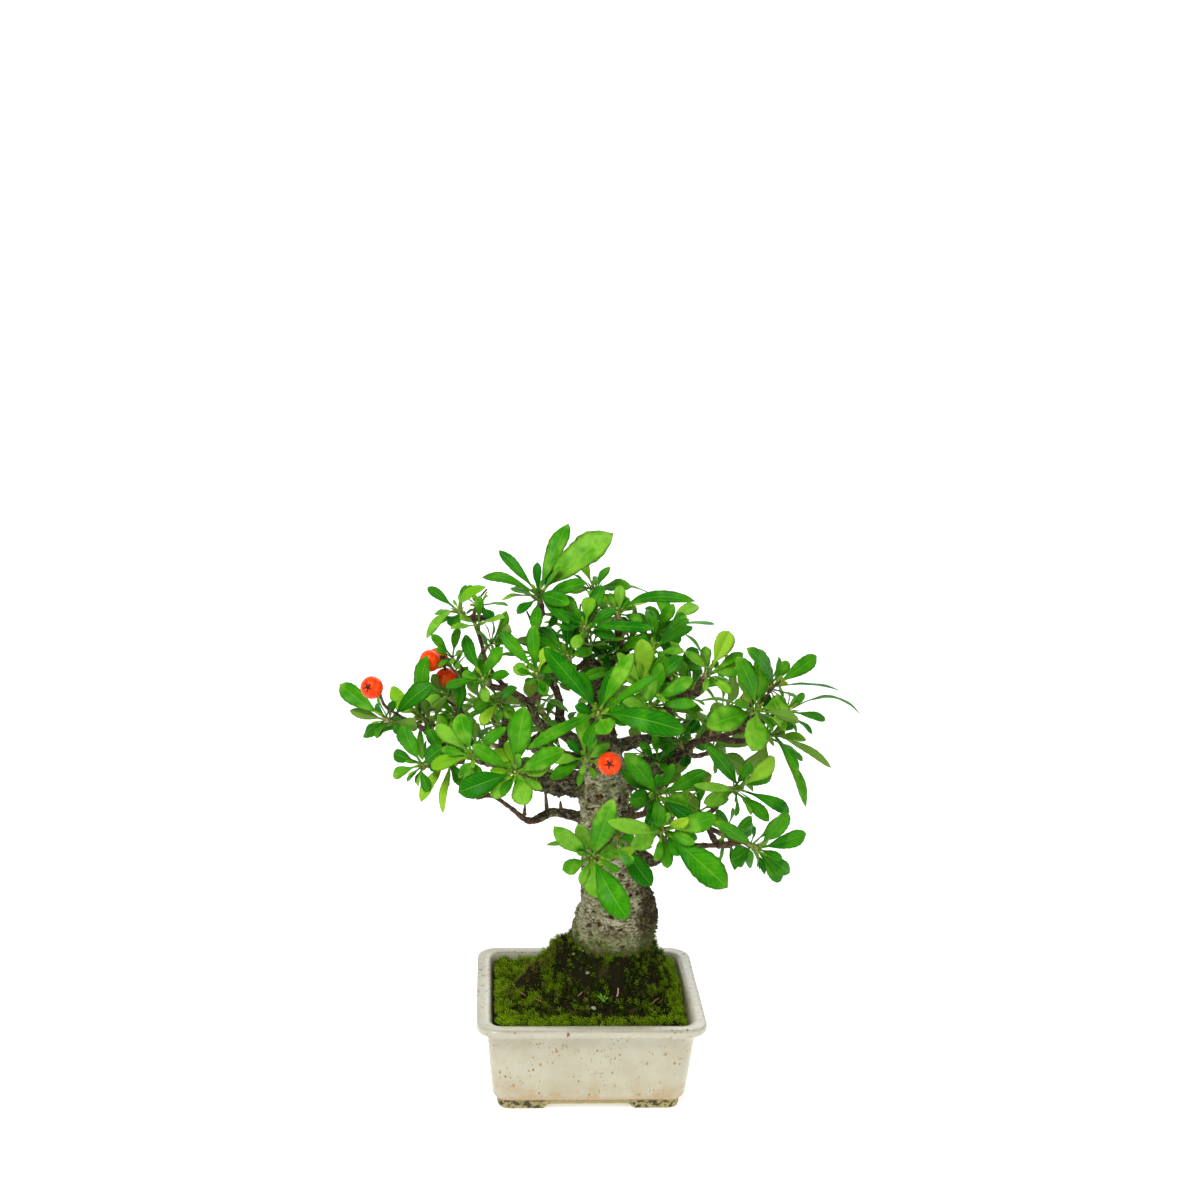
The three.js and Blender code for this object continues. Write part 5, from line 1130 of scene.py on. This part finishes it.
def moss_sprigs(name, count, rng, material):
    """Upright moss stems, each with small pointed leaves that stand out like a star."""
    points, faces, looks = [], [], []
    while len(points) < 50 * count:
        x, y = place_on_moss(rng, 1, 0.6)
        bare, bright, _ = moss_patches(x, y)
        near_wall = float(smooth(6, 1, inside_pot(x, y, 1)))
        if rng.random() > 0.15 + 0.5 * bright + 0.5 * near_wall - 0.6 * bare:
            continue
        foot = np.array([x, y, float(moss_height(x, y)) - 0.5])
        lean = np.array([rng.normal(0, 0.22), rng.normal(0, 0.22), 1])
        tall = rng.uniform(1.4, 3)
        tone = rng.uniform(0.35, 1)
        for k in range(10):
            share = 0.25 + 0.75 * k / 9
            base = foot + lean * tall * share * 0.8
            outward = np.array([math.cos(k * TURN_STEP), math.sin(k * TURN_STEP), 0])
            across = np.array([-outward[1], outward[0], 0]) * 0.19
            tip = base + outward * (1.5 - 0.7 * share) + np.array([0, 0, 0.25 + 0.7 * share])
            halfway = base + (tip - base) * 0.5 + np.array([0, 0, 0.12])
            n = len(points)
            points += [base, halfway - across, halfway + across, tip, halfway - np.array([0, 0, 0.16])]
            faces += [(n, n + 2, n + 1), (n + 1, n + 2, n + 3), (n, n + 1, n + 4), (n + 1, n + 3, n + 4),
                      (n, n + 4, n + 2), (n + 2, n + 4, n + 3)]
            looks += [(tone, 0.4, 0, 0)] + [(tone, 0.9, 0, 0)] * 4
    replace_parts(make_piece(name, points, faces, [material], "moss", None, looks), "moss")


def on_moss(x, y, above=0.0):
    return np.array([x, y, float(moss_height(x, y)) + above])


def ground_bits():
    """Pebbles, needles, a dry stalk and a small star-shaped plant that lie on and grow from the moss."""
    stone = dry_material("pebble", (0.14, 0.15, 0.08), (0.42, 0.43, 0.28), 1.2)
    straw = dry_material("dry_needle", (0.28, 0.13, 0.06), (0.5, 0.28, 0.16), 1.2)
    pink = dry_material("pink_stalk", (0.5, 0.22, 0.2), (0.8, 0.52, 0.5), 1.5)
    green = dry_material("star_plant", (0.1, 0.32, 0.02), (0.3, 0.6, 0.06), 1.5)
    rng = np.random.default_rng(SEED + 5)
    for number, (x, y, size) in enumerate(
        [(1, -18.7, 1.1), (-1.2, -10.6, 0.8), (-6.2, -3.1, 0.6), (-2.7, -4.1, 0.5), (7.9, -25.6, 0.6)]
    ):
        ball = bmesh.new()
        bmesh.ops.create_icosphere(ball, subdivisions=3, radius=1)
        for v in ball.verts:
            v.co *= 1 + 0.3 * noise.noise(v.co * 1.3 + Vector((number, 0, 0)))
        points = np.array([tuple(v.co) for v in ball.verts]) * np.array([1, 0.8, 0.65]) * size
        faces = [tuple(v.index for v in f.verts) for f in ball.faces]
        ball.free()
        make_piece(f"pebble_{number + 1}", points + on_moss(x, y, 0.35 * size), faces, [stone], "soil")
    for number, (x, y, turn, length) in enumerate(
        [(-26, -6.9, -0.45, 4.5), (-19.5, -10.6, -0.4, 4), (24.8, -13.4, 0.8, 5), (-4, -14.2, 0.2, 1.8)]
    ):
        way = np.array([math.cos(turn), math.sin(turn)]) * length / 2
        line = smooth_line([on_moss(*(np.array([x, y]) + way * part), 0.9) for part in (-1, 0, 1)], 6)
        points, faces = tube(line, np.interp(np.linspace(0, 1, 7), [0, 0.5, 1], [0.12, 0.26, 0.1]), 6)
        make_piece(f"needle_{number + 1}", points, faces, [straw], "bark")
    foot = on_moss(9.9, -16.1, -0.2)
    line = smooth_line([foot, foot + (0.2, -0.5, 1.8), foot + (0.1, -1.2, 4)], 8)
    make_piece("pink_stalk", *tube(line, np.linspace(0.34, 0.22, 9), 8), [pink], "moss")
    star = Mesh()
    foot = on_moss(4.5, -17.7, 1.2)
    for k in range(7):
        turn = k * 2 * math.pi / 7 + 0.3
        way = unit([math.cos(turn), math.sin(turn), rng.uniform(0.5, 1.6)])
        end = foot + way * rng.uniform(2.6, 3.6)
        leaf = {"start": foot, "end": end, "bend": (foot + end) / 2 + np.array([0, 0, 0.4]), "width": 0.8,
                "face": unit(np.array([0, 0, 1]) - way * way[2])}
        grow_leaf(star, leaf, rng, YOUNG_LEAF_STEPS, 1, 0.8)
    star.kinds = [0] * len(star.kinds)
    star.piece("star_plant", [green], "leaves")


# Pot

def rounded_loop(width, depth, radius, z, corner_steps=10, side_steps=(18, 14)):
    """Points round a rectangle with round corners, with points along its straight sides too."""
    def corner_point(corner, turn):
        sx, sy = (1 if corner % 4 in (0, 3) else -1), (1 if corner % 4 < 2 else -1)
        centre = np.array([sx * (width / 2 - radius), sy * (depth / 2 - radius)])
        angle = turn * math.pi / 2
        return centre + radius * np.array([math.cos(angle), math.sin(angle)])

    points = []
    for corner in range(4):
        points += [corner_point(corner, corner + k / corner_steps) for k in range(corner_steps + 1)]
        following = corner_point(corner + 1, corner + 1)
        steps = side_steps[corner % 2]
        points += [lerp(points[-1], following, k / steps) for k in range(1, steps)]
    return np.array([(x, y, z) for x, y in points])


def lofted(loops):
    return np.concatenate(loops), ring_faces(len(loops), len(loops[0]))


def cut_away(piece, cutters):
    """Cuts closed solids, given as (points, faces), out of a piece."""
    for points, faces in cutters:
        cutter = in_scene("cutter", mesh_data("cutter", points, faces))
        modifier = piece.modifiers.new("cut", "BOOLEAN")
        modifier.operation, modifier.solver, modifier.object = "DIFFERENCE", "EXACT", cutter
        done = with_modifiers(piece)
        piece.modifiers.clear()
        piece.data = done
        bpy.data.objects.remove(cutter)


def prism(outline_points, low, high, axis):
    """A closed prism through an outline, along x, y or z."""
    n = len(outline_points)
    points = []
    for level in (low, high):
        for a, b in outline_points:
            points.append({"x": (level, a, b), "y": (a, level, b), "z": (a, b, level)}[axis])
    faces = [tuple(range(n))[::-1], tuple(range(n, 2 * n))]
    faces += [(i, (i + 1) % n, n + (i + 1) % n, n + i) for i in range(n)]
    return (points, [f[::-1] for f in faces]) if axis == "y" else (points, faces)


def pot_profile():
    """(inset, z, corner radius) from the underside up the outside, over the rim and down the inside."""
    bottom = RIM_OVERHANG + WALL_TAPER
    inner = RIM_WIDTH + INNER_TAPER
    low, high = BASE_Z + 1.7, POT_HEIGHT - RIM_FACE - 2.6
    rows = [(bottom + 1.6, BASE_Z, 5), (bottom + 0.9, BASE_Z + 0.15, 5.3), (bottom + 0.35, BASE_Z + 0.7, 5.7),
            (bottom, low, 6)]
    rows += [(lerp(bottom, RIM_OVERHANG, k / 8), lerp(low, high, k / 8), 6.4) for k in range(1, 9)]
    rows += [(RIM_OVERHANG - 0.35, 32.4, 6.6), (RIM_OVERHANG - 1.0, 32.8, 6.9), (2.4, 33.15, 7.3),
             (1.2, 33.5, 7.7), (0.45, 33.95, 8), (0.08, 34.5, 8), (0, 35.1, 8), (0.02, 36.0, 8),
             (0.22, 36.55, 7.8), (0.7, 36.88, 7.4), (1.6, 37, 6.8), (3.4, 36.95, 5.6), (4.6, 36.8, 4.6),
             (5.2, 36.4, 4.2), (5.5, 35.7, 4)]
    rows += [(lerp(RIM_WIDTH, inner, k / 6), lerp(35.7, FLOOR_Z + 2, k / 6), 4) for k in range(1, 7)]
    rows += [(inner + 0.7, FLOOR_Z + 0.7, 3.6), (inner + 2, FLOOR_Z, 3)]
    return rows


def build_pot(glaze, clay):
    """The glazed body with its drain hole, and the clay ring under it with arches between four feet."""
    loops = [rounded_loop(POT_WIDTH - 2 * i, POT_DEPTH - 2 * i, r, z) for i, z, r in pot_profile()]
    points, faces = lofted(loops)
    for k, point in enumerate(points):
        inward = unit([-point[0], -point[1] * 1.2, 0]) if abs(point[0]) + abs(point[1]) > 1 else np.zeros(3)
        uneven = noise.noise(Vector(point) * 0.045) * 0.22 + noise.noise(Vector(point) * 0.17) * 0.07
        points[k] = point + inward * (0.16 + uneven)
    body = make_piece("pot_body", points, faces, [glaze], "glazed_pot")
    circle = [(DRAIN_RADIUS * math.cos(a), DRAIN_RADIUS * math.sin(a)) for a in np.arange(40) * math.pi / 20]
    drain = prism(circle, -2, FLOOR_Z + 2, "z")
    cut_away(body, [drain])
    inset = RIM_OVERHANG + WALL_TAPER + FOOT_INSET
    width, depth = POT_WIDTH - 2 * inset, POT_DEPTH - 2 * inset
    rows = [(0.9, 0, 3.9), (0.3, 0.25, 4.2), (0, 0.8, 4.5), (-0.15, 2.2, 4.7), (-0.4, 3.6, 4.9),
            (-0.6, BASE_Z + 0.35, 5)]
    points, faces = lofted([rounded_loop(width - 2 * i, depth - 2 * i, r, z) for i, z, r in rows])
    for k, point in enumerate(points):
        points[k, :2] *= 1 + 0.006 * noise.noise(Vector(point) * 0.5)
    feet = make_piece("pot_feet", points, faces, [clay], "glazed_pot")
    inner_w, inner_d = width / 2 - FOOT_RING, depth / 2 - FOOT_RING
    inner = [(-inner_w, -inner_d), (inner_w, -inner_d), (inner_w, inner_d), (-inner_w, inner_d)]
    cut_away(feet, [
        prism(inner, -1, ARCH_HEIGHT, "z"),
        prism(arch(width - 2 * FOOT_LENGTH), -60, 60, "y"),
        prism(arch(depth - 2 * (FOOT_LENGTH - 2)), -60, 60, "x"),
        drain,
    ])
    for piece in (body, feet):
        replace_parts(piece, "pot")
        piece.data.polygons.foreach_set("use_smooth", [True] * len(piece.data.polygons))
        piece.data.set_sharp_from_angle(angle=math.radians(48))


def arch(span):
    """Outline of a low arch: it rises in a curve at each end and is level between."""
    half = span / 2
    rise = [(half + 0.8 - 3.4 * s, ARCH_HEIGHT * math.sin(s * math.pi / 2)) for s in np.linspace(0, 1, 7)]
    return [(half + 0.8, -1)] + rise + [(-x, z) for x, z in reversed(rise)] + [(-half - 0.8, -1)]


# Berries

def build_berry(name, place, eye, skin, calyx):
    """A berry with a dent at its stalk and five dry sepals round the pit at its eye."""
    centre, eye = seen(place), unit(eye)
    sides = sides_of(eye, (0.1, 0.3, 1))
    mesh = Mesh()
    rows, columns = 30, 40
    points, looks = [], []
    for row in range(rows + 1):
        share = row / rows
        angle = (share - 0.5) * math.pi
        radius, height = math.cos(angle), 0.92 * math.sin(angle)
        pit, reach = (-0.2, 0.2) if share > 0.5 else (0.16, 0.22)
        height += pit * math.exp(-((radius / reach) ** 2))
        for k in range(columns):
            turn = k * 2 * math.pi / columns
            wide = radius * (1 + 0.012 * math.cos(5 * turn) * share)
            points.append(centre + BERRY_RADIUS * (eye * height + wide * leaning(eye, sides, turn)[0]))
            looks.append((share, 0, 0, 1))
    mesh.add(points, ring_faces(rows + 1, columns, closed=False), 0, looks)
    for k in range(5):
        outward = leaning(eye, sides, k * 2 * math.pi / 5 + 0.3)[0]
        across = np.cross(eye, outward)
        sepal = []
        for r, wide in ((0.1, 0.34), (0.7, 0.3), (1.3, 0.19), (1.85, 0.03)):
            level = 0.9 - 0.2 * math.exp(-((r / BERRY_RADIUS / 0.2) ** 2))
            middle_of_ring = centre + BERRY_RADIUS * eye * level + outward * r + eye * 0.08
            for a in np.arange(5) * 2 * math.pi / 5:
                sepal.append(middle_of_ring + across * wide * math.cos(a) + eye * 0.13 * math.sin(a))
        mesh.add(sepal, ring_faces(4, 5), 1)
    piece = mesh.piece(name.replace("berry", "ripe_berry"), [skin, calyx], "berries")
    weld(piece)
    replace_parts(piece, name)


def weld(piece):
    """Joins points that lie on each other, such as those at a ball's poles, and turns faces outward."""
    work = bmesh.new()
    work.from_mesh(piece.data)
    bmesh.ops.remove_doubles(work, verts=work.verts, dist=0.001 * MM)
    bmesh.ops.recalc_face_normals(work, faces=work.faces)
    work.to_mesh(piece.data)
    work.free()


# Stage

def build_stage():
    """A pale floor that curves up behind, soft lights, and the camera at the photograph's eye."""
    s = Shader("pale_floor", roughness=0.9, specular=0.2)
    pale = s.mix(s.noise(300, 2), (0.88, 0.88, 0.88), (0.9, 0.9, 0.9))
    s.surface.inputs["Emission Color"].default_value = (1, 1, 1, 1)
    s.surface.inputs["Emission Strength"].default_value = FLOOR_GLOW
    sweep = [(-2.5, 0), (1.6, 0)]
    sweep += [(1.6 + 0.8 * math.sin(a), 0.8 - 0.8 * math.cos(a)) for a in np.linspace(0, math.pi / 2, 12)[1:]]
    sweep += [(2.4, 3)]
    data = bpy.data.meshes.new("floor")
    points = [(x, y, z) for y, z in sweep for x in (-3.5, 3.5)]
    faces = [(2 * k, 2 * k + 1, 2 * k + 3, 2 * k + 2) for k in range(len(sweep) - 1)]
    data.from_pydata(points, [], faces)
    data.polygons.foreach_set("use_smooth", [True] * len(faces))
    data.materials.append(s.finish(pale))
    in_scene("floor", data)
    scene.world = bpy.data.worlds.new("studio")
    scene.world.use_nodes = True
    background = scene.world.node_tree.nodes["Background"]
    background.inputs["Color"].default_value = (1, 1, 1, 1)
    background.inputs["Strength"].default_value = SKY_LIGHT
    for name, place, target, size, power in LAMPS:
        light = bpy.data.lights.new(name, "AREA")
        light.size, light.energy = size, power
        lamp = in_scene(name, light)
        lamp.location = place
        lamp.rotation_euler = (Vector(target) - Vector(place)).to_track_quat("-Z", "Y").to_euler()
    camera = in_scene("camera", bpy.data.cameras.new("camera"))
    camera.data.lens, camera.data.sensor_width = LENS, SENSOR
    camera.data.clip_start = 0.01
    forward = np.array([math.sin(YAW) * math.cos(PITCH), math.cos(YAW) * math.cos(PITCH), -math.sin(PITCH)])
    right = np.array([math.cos(YAW), -math.sin(YAW), 0])
    up = np.cross(right, forward)
    rolled_right = right * math.cos(ROLL) + up * math.sin(ROLL)
    rolled_up = up * math.cos(ROLL) - right * math.sin(ROLL)
    turn = Matrix([rolled_right.tolist(), rolled_up.tolist(), (-forward).tolist()]).transposed()
    camera.matrix_world = Matrix.Translation(Vector(EYE * MM)) @ turn.to_4x4()
    scene.camera = camera
    scene.view_settings.view_transform = "Standard"


# Putting it together

soil_mesh = frame["nodes"]["soil"].data
soil_tree = BVHTree.FromPolygons([v.co for v in soil_mesh.vertices],
                                 [f.vertices[:] for f in soil_mesh.polygons])
leaf_materials = [leaf_material(True), leaf_material(False), shoot_material()]
shoots = {}
for number, node in enumerate(sorted(n for n in frame["nodes"] if n.startswith("leaves_"))):
    shoots[node.removeprefix("leaves_")] = grow_spray(
        node, np.random.default_rng(SEED + 100 + number), leaf_materials)
limb_tufts("foliage_on_limbs", np.random.default_rng(SEED + 99), leaf_materials)
grow_wood(shoots, bark_material())
moss_ground(moss_material("moss_and_earth", (0.004, 0.01, 0.0008), (0.03, 0.07, 0.002)))
moss_green = moss_material("moss_leaves", (0.01, 0.045, 0.0008), (0.42, 0.68, 0.012))
moss_tufts("moss_short", SHORT_MOSS, np.random.default_rng(SEED + 1), moss_green, (0.9, 1.7), (0.22, 0.4))
moss_tufts("moss_tall", TALL_MOSS, np.random.default_rng(SEED + 2), moss_green, (1.7, 3), (0.22, 0.36))
moss_sprigs("moss_sprigs", MOSS_STEMS, np.random.default_rng(SEED + 3), moss_green)
ground_bits()
build_pot(glaze_material(), foot_material())
for node, material in (("soil", soil_material()), ("drain_mesh", mesh_material())):
    frame["nodes"][node].data.materials.clear()
    frame["nodes"][node].data.materials.append(material)
berry_skin = berry_material()
calyx = dry_material("dry_sepals", (0.012, 0.006, 0.004), (0.06, 0.03, 0.02), 0.6)
for name, (place, eye, _) in BERRIES.items():
    build_berry(name, place, eye, berry_skin, calyx)
build_stage()
